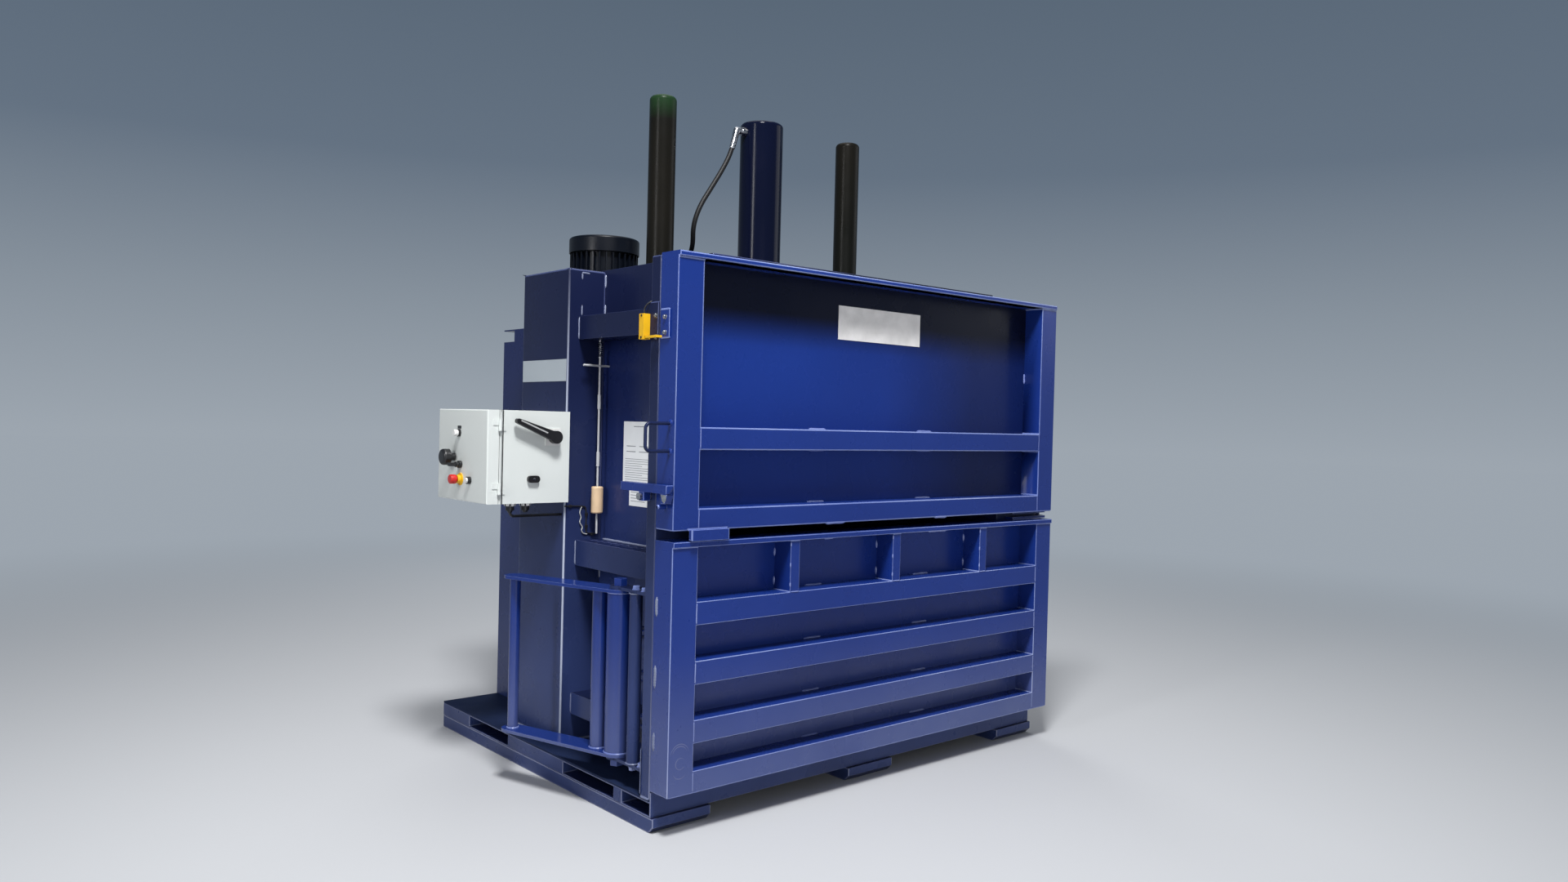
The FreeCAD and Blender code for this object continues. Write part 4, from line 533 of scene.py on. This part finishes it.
def round_edges(thing, width, slot=None, clamp=True):
    """Small rounded edges that catch the light, in a paint of their own where one is given."""
    joined = thing.modifiers.new("joined", "NODES")
    joined.node_group = JOINED
    bevel = thing.modifiers.new("edges", "BEVEL")
    bevel.use_clamp_overlap = clamp
    if slot is not None:
        thing.data.materials.append(materials[slot])
        bevel.material = len(thing.data.materials) - 1
    bevel.width = width
    bevel.segments = 2
    bevel.limit_method = "ANGLE"
    bevel.angle_limit = BEVEL_SHARP
    bevel.harden_normals = True


def hose_curve(name, points, diameter, slot):
    """A round hose through points, in metres."""
    data = bpy.data.curves.new(name, "CURVE")
    data.dimensions = "3D"
    data.bevel_depth = diameter / 2.0
    data.bevel_resolution = 6
    data.resolution_u = 10
    data.use_fill_caps = True
    spline = data.splines.new("NURBS")
    spline.points.add(len(points) - 1)
    for point, place in zip(spline.points, points):
        point.co = (*place, 1.0)
    spline.order_u = 3
    spline.use_endpoint_u = True
    made = bpy.data.objects.new(name, data)
    bpy.context.scene.collection.objects.link(made)
    data.materials.append(materials[slot])
    return made


def wire(name, body, points, diameter, slot):
    """A thin fixed lead; its points are in millimetres."""
    made = hose_curve(name, [at(*point) for point in points], diameter, slot)
    made.data.bevel_resolution = 3
    made.data.resolution_u = 6
    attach(made, body)


# ---------------------------------------------------------------- hose
HOSE_ROUTE = [(-167.6, 898.0, 2740.5), (-181.4, 898.0, 2692.4), (-224.0, 898.0, 2614.0),
              (-290.0, 898.0, 2514.0), (-350.0, 900.0, 2424.0), (-378.0, 908.0, 2334.0),
              (-352.0, 940.0, 2256.0), (-336.0, 988.0, 2210.0), (-325.0, 1050.0, 2184.0),
              (-313.0, 1112.0, 2166.0), (-305.0, 1158.0, 2125.0), (-302.0, 1182.0, 2071.0),
              (-302.0, 1182.0, 2013.0)]
# A ferrule's outline as (distance along the hose, radius), in metres, and how far the lower
# one stands above the route's last point but one, as a share of the last stretch.
FERRULE = [(0.0, 0.0124), (0.0015, 0.0138), (0.010, 0.0138), (0.012, 0.0128),
           (0.015, 0.0128), (0.017, 0.0138), (0.026, 0.0138), (0.029, 0.0117)]
FERRULE_LIFT = 0.08


def make_hose():
    """The pressure hose from the barrel's elbow to the valve block, with its ferrules."""
    places = [at(*point) for point in HOSE_ROUTE]
    hose = hose_curve("hose", places, 0.022, "hose_rubber")
    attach(hose, "frame")
    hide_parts("pressure_hose")
    run = [Vector(point.co[:3]) for point in hose.data.splines[0].points]
    pile = Pile("hose_ferrules", "frame", "bright_steel")
    pile.turned(run[0], run[1] - run[0], FERRULE, 28)
    pile.turned(run[-2] + (run[-2] - run[-1]) * FERRULE_LIFT, run[-3] - run[-2], FERRULE, 28)
    pile.finish()


# ---------------------------------------------------------------- planes and directions
LEFT = Vector((-1.0, 0.0, 0.0))
RIGHT = Vector((1.0, 0.0, 0.0))
FRONT = Vector((0.0, -1.0, 0.0))
BACK = Vector((0.0, 1.0, 0.0))
UP = Vector((0.0, 0.0, 1.0))
DOWN = Vector((0.0, 0.0, -1.0))
SIDES = ((-1.0, LEFT), (1.0, RIGHT))

# Sideways, from the middle: the doors and the front frame, the door stiles' inner edges,
# the columns and the chamber walls.
HALF_WIDTH = 1095.0
STILE = 985.0
COLUMN_SIDE = 1000.0
WALL = 825.0
# Into the machine: the door skins, the back of the front frame, the columns, the middle of
# the press and the rear wall.
SKIN = 95.0
FRAME_BACK = 165.0
COLUMN_FRONT = 905.0
COLUMN_BACK = 1292.0
PRESS_MIDDLE = 898.0
REAR_WALL = 1711.0
# Up: the platform, the lower door's underside, the underside of its top rail, and how high
# a hinge lug is.
PLATFORM_TOP = 118.0
DOOR_FOOT = 149.0
TOP_RAIL = 1018.0
LUG_HEIGHT = 36.0

# The door rails' undersides and tops, the stretches in which they are stitched to the skin,
# and the left sides of the lower door's short posts.
UPPER_RAILS = ((1076.0, 1153.0), (1358.0, 1439.0))
LOWER_RAILS = ((DOOR_FOOT, 226.0), (323.0, 406.0), (531.0, 614.0), (741.0, 824.0))
STITCHES = ((-389.0, -298.0), (240.0, 335.0))
POSTS = (-549.0, 11.0, 571.0)
# The side rails: outer side from the middle, underside and top.
SIDE_RAILS = ((949.0, 1786.0, 1882.0), (945.0, 850.0, 955.0), (951.0, 232.0, 320.0))
# The gasket at the control box's lid, its outer and inner side, and the two cable glands.
SEAT = (-1305.0, -1301.0)
GLANDS = ((-1232.0, 930.0), (-1165.0, 930.0))
# The lock lever's tubes and the lock's fixed post: middle, and radius in metres.
LEVER_TUBES = ((-1060.0, 377.0, 0.0480), (-1088.4, 469.8, 0.0285), (-1218.2, 894.4, 0.0210))
FIXED_POST = ((-1071.0, 253.0, 0.0240),)


# ---------------------------------------------------------------- welds
def upright(x, y, low, high, out):
    """A bead's line upwards, as its start, its end and the way that it faces."""
    return (x, y, low), (x, y, high), out


def level(x0, x1, y, z, out):
    """A bead's line across the machine."""
    return (x0, y, z), (x1, y, z), out


def lengthwise(x, y0, y1, z, out):
    """A bead's line into the machine."""
    return (x, y0, z), (x, y1, z), out


def beads(name, body, slot, lines, width, ripple):
    """Straight weld beads in one piece; their lines are in millimetres."""
    pile = Pile(name, body, slot)
    for start, end, outward in lines:
        pile.weld(at(*start), at(*end), outward, width, ripple)
    pile.finish()


def rail_ends(rails):
    """Fine upright beads where the rails meet the stiles, on the door's front."""
    return [upright(x, 0.2, low + 5.0, high - 5.0, FRONT)
            for low, high in rails for x in (-STILE, STILE)]


def skin_stitches(rails):
    """Short beads between rails and skin, above each rail and below all but the foot."""
    lines = []
    for low, high in rails:
        for x0, x1 in STITCHES:
            lines.append(level(x0, x1, SKIN - 1.0, high + 1.0, FRONT + UP))
            if low > DOOR_FOOT:
                lines.append(level(x0, x1, SKIN - 1.0, low - 1.0, FRONT + DOWN))
    return lines


def make_upper_door_welds():
    """Weld beads of the upper door."""
    z = UPPER_RAILS[0][0] - 0.4
    stitches = skin_stitches(UPPER_RAILS)
    stitches.append(upright(STILE - 1.0, SKIN - 1.0, 1676.0, 1722.0, FRONT + LEFT))
    stitches.append(level(-369.0, -267.0, 4.0, z, FRONT + DOWN))
    stitches.append(level(266.0, 345.0, 4.0, z, FRONT + DOWN))
    beads("upper_door_stitches", "upper_door", "weld", stitches, 0.0065, 0.008)
    beads("upper_door_rail_ends", "upper_door", "weld", rail_ends(UPPER_RAILS), 0.0026, 0.006)


def make_lower_door_welds():
    """Weld beads of the lower door."""
    stitches = skin_stitches(LOWER_RAILS)
    stitches.append(level(226.0, 347.0, 3.0, TOP_RAIL - 0.4, FRONT + DOWN))
    stitches.append(level(-376.0, -323.0, 3.0, TOP_RAIL - 0.4, FRONT + DOWN))
    for x in POSTS:
        for low, high in ((951.0, 982.0), (841.0, 873.0)):
            stitches.append(upright(x - 1.0, SKIN - 1.0, low, high, FRONT + LEFT))
    beads("lower_door_stitches", "lower_door", "weld", stitches, 0.0065, 0.008)
    ends = rail_ends(LOWER_RAILS)
    for x in POSTS:
        ends.append(level(x + 3.0, x + 43.0, 0.2, LOWER_RAILS[-1][1] + 0.6, FRONT + UP))
        ends.append(level(x + 3.0, x + 43.0, 0.2, TOP_RAIL - 0.6, FRONT + DOWN))
        for z in (1004.0, 926.0, 851.0):
            ends.append(upright(x, 0.5, z - 9.0, z + 9.0, FRONT + LEFT))
    beads("lower_door_rail_ends", "lower_door", "weld", ends, 0.0030, 0.006)
    pads = [upright(-HALF_WIDTH, 88.0, low, high, LEFT)
            for low, high in ((771.0, 840.0), (518.0, 598.0), (297.0, 362.0))]
    beads("lower_door_pads", "lower_door", "frame_weld", pads, 0.0080, 0.010)
    foot = [level(-1088.0, 1088.0, 0.5, DOOR_FOOT + 0.4, FRONT + DOWN)]
    beads("lower_door_foot_weld", "lower_door", "weld", foot, 0.0024, 0.014)


def frame_stitches():
    """Beads where side rails, columns, walls and front frame meet, on both sides."""
    lines = []
    for side, out in SIDES:
        for outer, low, high in SIDE_RAILS:
            x = side * (outer - 1.0)
            lines.append(upright(x, COLUMN_FRONT - 0.6, low + 3.0, high - 3.0, FRONT + out))
            lines.append(upright(x, FRAME_BACK + 0.6, low + 6.0, low + 46.0, BACK + out))
            lines.append(upright(x, FRAME_BACK + 0.6, high - 46.0, high - 6.0, BACK + out))
        for low, high in ((1890.0, 1940.0), (2012.0, 2066.0)):
            lines.append(upright(side * (WALL + 0.6), COLUMN_FRONT - 0.6, low, high,
                                 FRONT + out))
        for low, high in ((684.0, 736.0), (379.0, 425.0), (123.0, 167.0)):
            lines.append(upright(side * (WALL + 0.4), 835.0, low, high, out))
        lines.append(upright(side * (WALL + 1.0), COLUMN_FRONT - 0.6, 791.0, 833.0,
                             FRONT + out))
        lines.append(upright(side * HALF_WIDTH, FRAME_BACK - 1.4, 124.0, 290.0, BACK + out))
    return lines


def column_marks():
    """Fine beads on the left column's front, above the top side rail."""
    y = COLUMN_FRONT - 0.2
    return [level(-940.0, -902.0, y, 2063.0, FRONT),
            upright(-938.0, y, 2036.0, 2062.0, FRONT),
            upright(-937.0, y, 1887.0, 1928.0, FRONT)]


def column_feet():
    """Beads round the feet of the columns and beside the front frame's uprights."""
    z = PLATFORM_TOP + 0.4
    lines = []
    for side, out in SIDES:
        inner = side * 832.0
        outer = side * 996.0
        lines.append(lengthwise(side * (COLUMN_SIDE + 0.4), 908.0, 1289.0, z, UP + out))
        lines.append(level(inner, outer, COLUMN_FRONT - 0.4, z, UP + FRONT))
        lines.append(level(inner, outer, COLUMN_BACK + 0.4, z, UP + BACK))
        lines.append(lengthwise(side * (HALF_WIDTH + 0.2), 110.0, 163.0, z, UP + out))
    return lines


def make_press_welds():
    """Beads round the guide sleeves' upper ends and round the barrel on its flange."""
    pile = Pile("press_welds", "frame", "frame_weld")
    for x in (-560.0, 560.0):
        pile.ring_weld(at(x, PRESS_MIDDLE, 2076.4), DOWN, 0.0790, 0.001)
    pile.ring_weld(at(0.0, PRESS_MIDDLE, 2106.0), UP, 0.1000, 0.0080)
    pile.finish()


def rear_ribs():
    """Beads along the rear posts, on the rear wall."""
    return [upright(x, REAR_WALL + 0.4, z, z + 80.0, BACK + out)
            for x, out in ((-735.0, RIGHT), (-305.0, LEFT), (-215.0, RIGHT), (215.0, LEFT),
                           (305.0, RIGHT), (735.0, LEFT))
            for z in (210.0, 510.0, 810.0, 1110.0, 1410.0, 1700.0)]


def hinge_lugs():
    """Beads above and below the three fixed hinge lugs."""
    x = HALF_WIDTH + 0.4
    lines = []
    for top in (1820.0, 624.0, 264.0):
        lines.append(lengthwise(x, 112.0, 162.0, top + 0.4, UP + RIGHT))
        lines.append(lengthwise(x, 112.0, 162.0, top - LUG_HEIGHT - 0.4, DOWN + RIGHT))
    return lines


def rail_teeth():
    """Coarse ripples along the walls, on top of the two upper side rails."""
    return [lengthwise(side * (WALL + 2.0), 182.0, 884.0, high + 0.6, UP + out)
            for side, out in SIDES for _, _, high in SIDE_RAILS[:2]]


def make_frame_welds():
    """Weld beads of the frame, in the order in which they draw their ripple."""
    beads("frame_stitches", "frame", "frame_weld", frame_stitches(), 0.0062, 0.008)
    beads("column_marks", "frame", "frame_weld", column_marks(), 0.0036, 0.007)
    beads("column_foot_welds", "frame", "frame_weld", column_feet(), 0.0050, 0.009)
    make_press_welds()
    beads("rear_rib_welds", "frame", "frame_weld", rear_ribs(), 0.0060, 0.009)
    beads("hinge_lug_welds", "frame", "frame_weld", hinge_lugs(), 0.0045, 0.007)
    beads("rail_wall_welds", "frame", "frame_weld", rail_teeth(), 0.0065, 0.018)


# ---------------------------------------------------------------- bolts and screws
def bolts(name, body, slot, places, across, height):
    """Hexagonal heads on washers; each place is a point in millimetres and a direction."""
    pile = Pile(name, body, slot)
    for place, axis in places:
        pile.bolt(at(*place), axis, across, height)
    pile.finish(bevel=0.0004)


def turned_set(name, body, slot, places, axis, profile, sides, bevel=0.0):
    """Equal turned pieces in one; their places are in millimetres."""
    pile = Pile(name, body, slot)
    for place in places:
        pile.turned(at(*place), axis, profile, sides)
    pile.finish(bevel=bevel)


def make_bolts():
    """Bolt heads and plugs."""
    bolts("switch_bracket_bolts", "frame", "bright_steel",
          [((-1101.0, 120.0, z), LEFT) for z in (1827.0, 1752.0)], 0.013, 0.007)
    bolts("key_plate_bolts", "upper_door", "bright_steel",
          [((-1101.0, 66.0, z), LEFT) for z in (1820.0, 1765.0)], 0.013, 0.007)
    # The lock post's bolts take the paler edge paint, partly a painted highlight.
    bolts("lock_post_bolts", "frame", "edge_paint",
          [((-1071.0, 253.0, 842.0), UP), ((-1071.0, 196.0, 842.0), UP),
           ((-1071.0, 253.0, 197.0), DOWN), ((-1071.0, 196.0, 209.0), UP)], 0.024, 0.013)
    bolts("tank_lid_bolts", "frame", "bright_steel",
          [((x, y, 1964.0), UP) for x, y in
           ((-786.0, 1164.0), (-620.0, 1164.0), (-432.0, 1164.0), (-786.0, 1370.0),
            (-344.0, 1400.0), (-786.0, 1576.0), (-565.0, 1576.0), (-344.0, 1576.0))],
          0.013, 0.008)
    bolts("valve_plugs", "frame", "bright_steel",
          [((-372.0, 1226.0, 2076.0), UP), ((-330.0, 1154.0, 2004.0), FRONT),
           ((-376.0, 1154.0, 2004.0), FRONT)], 0.022, 0.010)


def make_groove_highlight():
    """A painted highlight along the isolator handle's groove: a grey strip on the handle's front.
    """
    hub = at(-1078.0, 837.2, 1381.0)
    along = Vector((-0.9265, 0.0, 0.3763))
    across = Vector((0.3763, 0.0, 0.9265)) * 0.0028
    rise = FRONT * 0.0006
    rings = []
    for reach in (0.045, 0.172):
        middle = hub + along * reach
        rings.append([middle - across, middle + across, middle + across + rise,
                      middle - across + rise])
    pile = Pile("isolator_groove_highlight", "isolator", "gland_grey")
    pile.ring_stack(rings)
    pile.finish(smooth=False)


def make_gasket():
    """The rubber edge that shows between the control box and its lid."""
    outer, inner = SEAT
    pile = Pile("box_gasket", "frame", "gasket")
    pile.block(at(outer, 860.4, 1116.0), at(inner, 861.4, 1484.0))
    pile.block(at(outer, 1319.6, 1116.0), at(inner, 1320.6, 1484.0))
    pile.block(at(outer, 861.0, 1484.6), at(inner, 1320.0, 1485.6))
    pile.finish(smooth=False)


def make_fittings():
    """Screws, handle feet and what belongs to the control box."""
    turned_set("lock_key", "quarter_turn", "bright_steel", [(-1163.0, 861.4, 1212.0)], FRONT,
               [(0.0, 0.0052), (0.0006, 0.0052), (0.0009, 0.0040)], 20)
    make_groove_highlight()
    # Near-black screw heads on the safety switch, a painted shade of its screw holes.
    turned_set("switch_screws", "frame", "painted_hole_shade",
               [(-1128.6, 174.0, z) for z in (1828.0, 1751.0)], LEFT,
               [(0.0, 0.0045), (0.0018, 0.0045), (0.0024, 0.0036)], 16)
    turned_set("wall_screws", "frame", "bright_steel",
               [(-WALL, 810.0, z) for z in (630.0, 545.0)], LEFT,
               [(0.0, 0.0085), (0.0020, 0.0085), (0.0050, 0.0050)], 18)
    turned_set("handle_feet", "upper_door", "blue_paint",
               [(-HALF_WIDTH, 30.0, z) for z in (1351.0, 1451.0)], LEFT,
               [(0.0, 0.0125), (0.0018, 0.0115), (0.0045, 0.0072)], 24)
    turned_set("gland_drops", "frame", "black_plastic", [(x, y, 1076.0) for x, y in GLANDS], UP,
               [(0.0, 0.0085), (0.0120, 0.0125), (0.0200, 0.0125), (0.0270, 0.0180)], 20)
    make_gasket()
    turned_set("gland_nuts", "frame", "white_plastic", [(x, y, 1102.4) for x, y in GLANDS], UP,
               [(0.0, 0.0225), (0.0012, 0.0240), (0.0110, 0.0240), (0.0124, 0.0230)], 6,
               bevel=0.0008)


# ---------------------------------------------------------------- worn places and the lock
# Middle in millimetres, radius in metres, first and last angle in degrees.
SCUFFS = ((-1044.0, 292.0, 0.040, 10.0, 175.0), (-1044.0, 292.0, 0.032, 20.0, 165.0),
          (-1041.0, 262.0, 0.020, 30.0, 330.0), (-1043.0, 240.0, 0.030, 200.0, 320.0))
SCUFF_STEPS = 24
SCUFF_HALF = 0.0018


def make_scuffs():
    """Rubbed arcs on the lower door's left stile."""
    pile = Pile("stile_scuffs", "lower_door", "scuff")
    rise = FRONT * 0.0003
    for x, z, radius, first, last in SCUFFS:
        middle = at(x, 0.0, z)
        rings = []
        for step in range(SCUFF_STEPS + 1):
            angle = math.radians(first + (last - first) * step / SCUFF_STEPS)
            spoke = Vector((math.cos(angle), 0.0, math.sin(angle)))
            half = SCUFF_HALF * math.sin(math.pi * (step + 0.4) / (SCUFF_STEPS + 1))
            rings.append([middle + spoke * (radius - half),
                          middle + spoke * (radius - half * 0.5) + rise,
                          middle + spoke * (radius + half * 0.5) + rise,
                          middle + spoke * (radius + half)])
        pile.ring_stack(rings)
    pile.finish()


def make_latch_nose():
    """The bare metal end of the latch, where the paint is rubbed off."""
    outline = ((-3.0, 1203.0), (-3.0, 1186.0), (8.0, 1174.0), (20.0, 1181.0), (28.0, 1203.0))
    pile = Pile("latch_nose", "latch", "bright_steel")
    pile.ring_stack([[at(x, y, z) for y, z in outline] for x in (-1129.6, -1130.4)])
    pile.finish(smooth=False)


def ring_pairs(name, body, slot, tubes, low, high):
    """Beads round upright tubes, at their upper and lower ends."""
    pile = Pile(name, body, slot)
    for x, y, radius in tubes:
        pile.ring_weld(at(x, y, high), DOWN, radius, 0.0045)
        pile.ring_weld(at(x, y, low), UP, radius, 0.0045)
    pile.finish()


def make_lock_welds():
    """Beads between the lever's arms, and between the brackets of the fixed post."""
    ring_pairs("lock_welds", "lock", "weld", LEVER_TUBES, 221.0, 818.0)
    ring_pairs("lock_post_welds", "frame", "frame_weld", FIXED_POST, 209.0, 830.0)


# ---------------------------------------------------------------- leads and print
COLUMN_LEAD = [(-1001.0, 901.5, 1096.0), (-960.0, 901.5, 1096.0), (-912.0, 901.5, 1094.0),
               (-899.0, 901.5, 1088.0), (-898.0, 901.5, 1040.0), (-897.0, 901.5, 992.0),
               (-893.0, 901.5, 978.0), (-850.0, 901.5, 976.0)]
LOOP_LEAD = [(-918.0, 901.5, 1094.0), (-934.0, 900.0, 1072.0), (-921.0, 899.0, 1048.0),
             (-933.0, 899.0, 1028.0), (-914.0, 899.0, 1008.0), (-922.0, 899.5, 994.0),
             (-910.0, 901.5, 978.0), (-892.0, 901.5, 977.0)]
SWITCH_LEAD = [(-1115.0, 178.0, 1834.0), (-1115.0, 178.0, 1850.0), (-1113.0, 172.0, 1864.0),
               (-1106.0, 164.0, 1874.0), (-1096.0, 160.0, 1880.0)]
CLIPS = ((-975.0, 1096.0), (-897.6, 1060.0), (-897.2, 1010.0), (-868.0, 976.0))
CLIP_HALF = 6.0


def make_wires():
    """Thin leads clipped to the column, and the short lead of the safety switch."""
    wire("column_lead", "frame", COLUMN_LEAD, 0.006, "black_plastic")
    wire("loop_lead", "frame", LOOP_LEAD, 0.0045, "gland_grey")
    wire("switch_lead", "frame", SWITCH_LEAD, 0.006, "black_plastic")
    pile = Pile("lead_clips", "frame", "black_plastic")
    for x, z in CLIPS:
        pile.block(at(x - CLIP_HALF, COLUMN_FRONT - 8.0, z - CLIP_HALF),
                   at(x + CLIP_HALF, COLUMN_FRONT, z + CLIP_HALF))
    pile.finish(bevel=0.0012)


def rule(pile, near, far, z, half):
    """One ruled line on the sheets of the left wall."""
    pile.block(at(-WALL - 1.4, near, z - half), at(-WALL - 0.9, far, z + half))


def make_print():
    """Plain ruled lines on the two bare sheets of the left wall."""
    pile = Pile("ruled_lines", "frame", "ink")
    for index in range(13):
        near = 532.0 if index % 4 != 3 else 600.0
        rule(pile, near, 724.0, 1300.0 - index * 9.2, 1.0)
    for near, far, z in ((590.0, 666.0, 1432.0), (560.0, 624.0, 1352.0), (650.0, 716.0, 1352.0),
                         (560.0, 624.0, 1330.0), (650.0, 716.0, 1330.0)):
        rule(pile, near, far, z, 1.6)
    for z in (1166.0, 1154.0, 1142.0, 1130.0):
        rule(pile, 576.0, 678.0, z, 1.2)
    pile.finish(smooth=False)


# ---------------------------------------------------------------- stage
# The backdrop's colours, from 30 degrees below the horizon (0) to 30 degrees above it (1).
HORIZON = (0.335, 0.378, 0.428)
SKY = ((0.0, (0.500, 0.520, 0.552)), (0.30, (0.400, 0.435, 0.478)), (0.485, HORIZON),
       (0.60, (0.240, 0.282, 0.332)), (0.72, (0.128, 0.168, 0.222)), (1.0, (0.075, 0.108, 0.150)))
# Half the floor's side, and the distances between which it fades, in metres.
FLOOR_HALF = 60.0
FLOOR_FADE = (0.5, 10.0)


def area_light(name, place, size, energy, target=(0.0, 0.0, 1.2), glossy=True):
    """A soft rectangular lamp, turned to a target; glossy shows it as a highlight."""
    data = bpy.data.lights.new(name, "AREA")
    data.shape = "RECTANGLE"
    data.size = size[0]
    data.size_y = size[1]
    data.energy = energy
    lamp = bpy.data.objects.new(name, data)
    lamp.location = place
    lamp.visible_glossy = glossy
    aim = Vector(target) - Vector(place)
    lamp.rotation_euler = aim.to_track_quat("-Z", "Y").to_euler()
    bpy.context.scene.collection.objects.link(lamp)


def seen_directly(tree):
    """1 for what the camera sees, straight, by reflection or through glass."""
    path = tree.nodes.new("ShaderNodeLightPath")
    total = path.outputs["Is Camera Ray"]
    for name in ("Is Glossy Ray", "Is Transmission Ray"):
        total = maths(tree, "ADD", total, path.outputs[name], clamp=True)
    return total


def choose(tree, factor, first, last, output):
    """Shows the first shader where a factor is 0 and the last one where it is 1."""
    choice = tree.nodes.new("ShaderNodeMixShader")
    tree.links.new(factor, choice.inputs["Fac"])
    tree.links.new(first, choice.inputs[1])
    tree.links.new(last, choice.inputs[2])
    tree.links.new(choice.outputs["Shader"], tree.nodes[output].inputs["Surface"])


def make_world():
    """A grey-blue backdrop, darker upwards, over plain soft surroundings."""
    world = bpy.data.worlds.new("surroundings")
    world.use_nodes = True
    tree = world.node_tree
    soft = tree.nodes["Background"]
    soft.inputs["Color"].default_value = (0.60, 0.63, 0.68, 1.0)
    soft.inputs["Strength"].default_value = 0.23
    height = rescaled(tree, coordinate(tree, "Generated", "Z"), (-0.5, 0.5), (0.0, 1.0))
    shades = tree.nodes.new("ShaderNodeValToRGB")
    band = shades.color_ramp.elements
    band[0].color = (*SKY[0][1], 1.0)
    band[1].color = (*SKY[-1][1], 1.0)
    for place, color in SKY[1:-1]:
        band.new(place).color = (*color, 1.0)
    tree.links.new(height, shades.inputs["Fac"])
    backdrop = tree.nodes.new("ShaderNodeBackground")
    tree.links.new(shades.outputs["Color"], backdrop.inputs["Color"])
    choose(tree, seen_directly(tree), soft.outputs["Background"],
           backdrop.outputs["Background"], "World Output")
    bpy.context.scene.world = world


def make_floor():
    """A wide pale floor that fades into the backdrop far from the machine."""
    r = FLOOR_HALF
    mesh = bpy.data.meshes.new("floor")
    mesh.from_pydata([(-r, -r, 0), (r, -r, 0), (r, r, 0), (-r, r, 0)], [], [(0, 1, 2, 3)])
    floor = bpy.data.objects.new("floor", mesh)
    bpy.context.scene.collection.objects.link(floor)
    pale, tree, shader = new_material("floor", (0.52, 0.53, 0.55), 0.60, specular=0.2)
    coords = tree.nodes.new("ShaderNodeTexCoord")
    distance = tree.nodes.new("ShaderNodeVectorMath")
    distance.operation = "LENGTH"
    tree.links.new(coords.outputs["Object"], distance.inputs[0])
    fade = rescaled(tree, distance.outputs["Value"], FLOOR_FADE, (0.0, 1.0), smooth=True)
    glow = tree.nodes.new("ShaderNodeEmission")
    glow.inputs["Color"].default_value = (*HORIZON, 1.0)
    choose(tree, product(tree, fade, seen_directly(tree)), shader.outputs["BSDF"],
           glow.outputs["Emission"], "Material Output")
    mesh.materials.append(pale)


def make_stage():
    """Pale floor, grey-blue backdrop and soft lamps."""
    make_floor()
    make_world()
    area_light("key", (-2.1, -2.8, 6.0), (1.1, 1.1), 450.0, target=(-0.4, -0.95, 1.0))
    area_light("left", (-6.2, -1.4, 3.2), (0.7, 2.6), 95.0)
    area_light("right", (5.2, -2.6, 3.6), (3.0, 3.0), 34.0)
    area_light("front", (-2.6, -6.4, 1.6), (3.0, 2.4), 60.0)
    area_light("rear", (4.1, 6.0, 4.2), (3.0, 3.0), 200.0, glossy=False)
    area_light("top", (0.4, 0.9, 6.6), (3.6, 3.6), 70.0)
    bpy.context.scene.view_settings.view_transform = "Standard"


# ---------------------------------------------------------------- CAD nodes
# How wide the rounded edges are, in metres, and where short edges don't narrow them.
BEVELS = {
    "upper_door_frame": 0.0050, "lower_door_frame": 0.0050, "front_frame": 0.0045,
    "side_rails": 0.0045, "press_columns": 0.0080, "bridge": 0.0030, "skids": 0.0040,
    "base_frame": 0.0025, "platform_plate": 0.0020, "oil_tank": 0.0030, "tank_lid": 0.0030,
    "box_body": 0.0040, "box_lid": 0.0030, "lock_lever": 0.0020, "latch_lever": 0.0020,
    "palm_button": 0.0006, "selector_lever": 0.0015, "isolator_plate": 0.0012,
    "floor_bars": 0.0020, "hinge_lugs": 0.0015, "lock_brackets": 0.0015, "platen": 0.0020,
    "lock_keepers": 0.0010, "lock_pins": 0.0015,
}
UNCLAMPED = ("upper_door_frame", "front_frame", "press_columns", "bridge")
# Paler paint on rounded edges: partly rubbed paint, partly a painted highlight.
EDGE_PAINT = {
    "upper_door_frame": "edge_paint", "lower_door_frame": "edge_paint",
    "lock_lever": "edge_paint", "latch_lever": "edge_paint", "lock_pins": "edge_paint",
    "front_frame": "frame_edge", "side_rails": "frame_edge", "press_columns": "frame_edge",
    "bridge": "frame_edge", "skids": "frame_edge", "base_frame": "frame_edge",
}
# Materials in place of the record's.
OWN_PAINT = {
    "name_plate": "paper", "lock_pins": "blue_paint", "pull_rod": "rod_steel",
    "platform_plate": "floor_paint", "chamber_walls": "wall_paint",
    "door_handle": "frame_paint", "lock_lever": "lever_paint",
    "upper_door_skin": "door_skin", "press_columns": "column_paint",
}
# What keeps the record's blue; the other blue nodes get the frame's darker one, a painted shade
# of the same blue.
DOOR_BLUE = ("upper_door_frame", "lower_door_frame", "lower_door_skin", "latch_lever",
             "lock_keepers")


def dress_nodes():
    """Gives every CAD node its material and its softened edges."""
    slots = {part["node"]: part["material_slot"] for part in frame["record"]["subparts"]}
    for name, thing in nodes.items():
        slot = slots[name]
        if slot == "blue_paint" and name not in DOOR_BLUE:
            slot = "frame_paint"
        thing.data.materials.clear()
        thing.data.materials.append(materials[OWN_PAINT.get(name, slot)])
        shade_by_angle(thing, CAD_SHARP)
        if name in BEVELS:
            round_edges(thing, BEVELS[name], EDGE_PAINT.get(name), name not in UNCLAMPED)


make_camera()
make_hose()
make_stage()
dress_nodes()
make_upper_door_welds()
make_lower_door_welds()
make_frame_welds()
make_bolts()
make_fittings()
make_scuffs()
make_latch_nose()
make_lock_welds()
make_wires()
make_print()
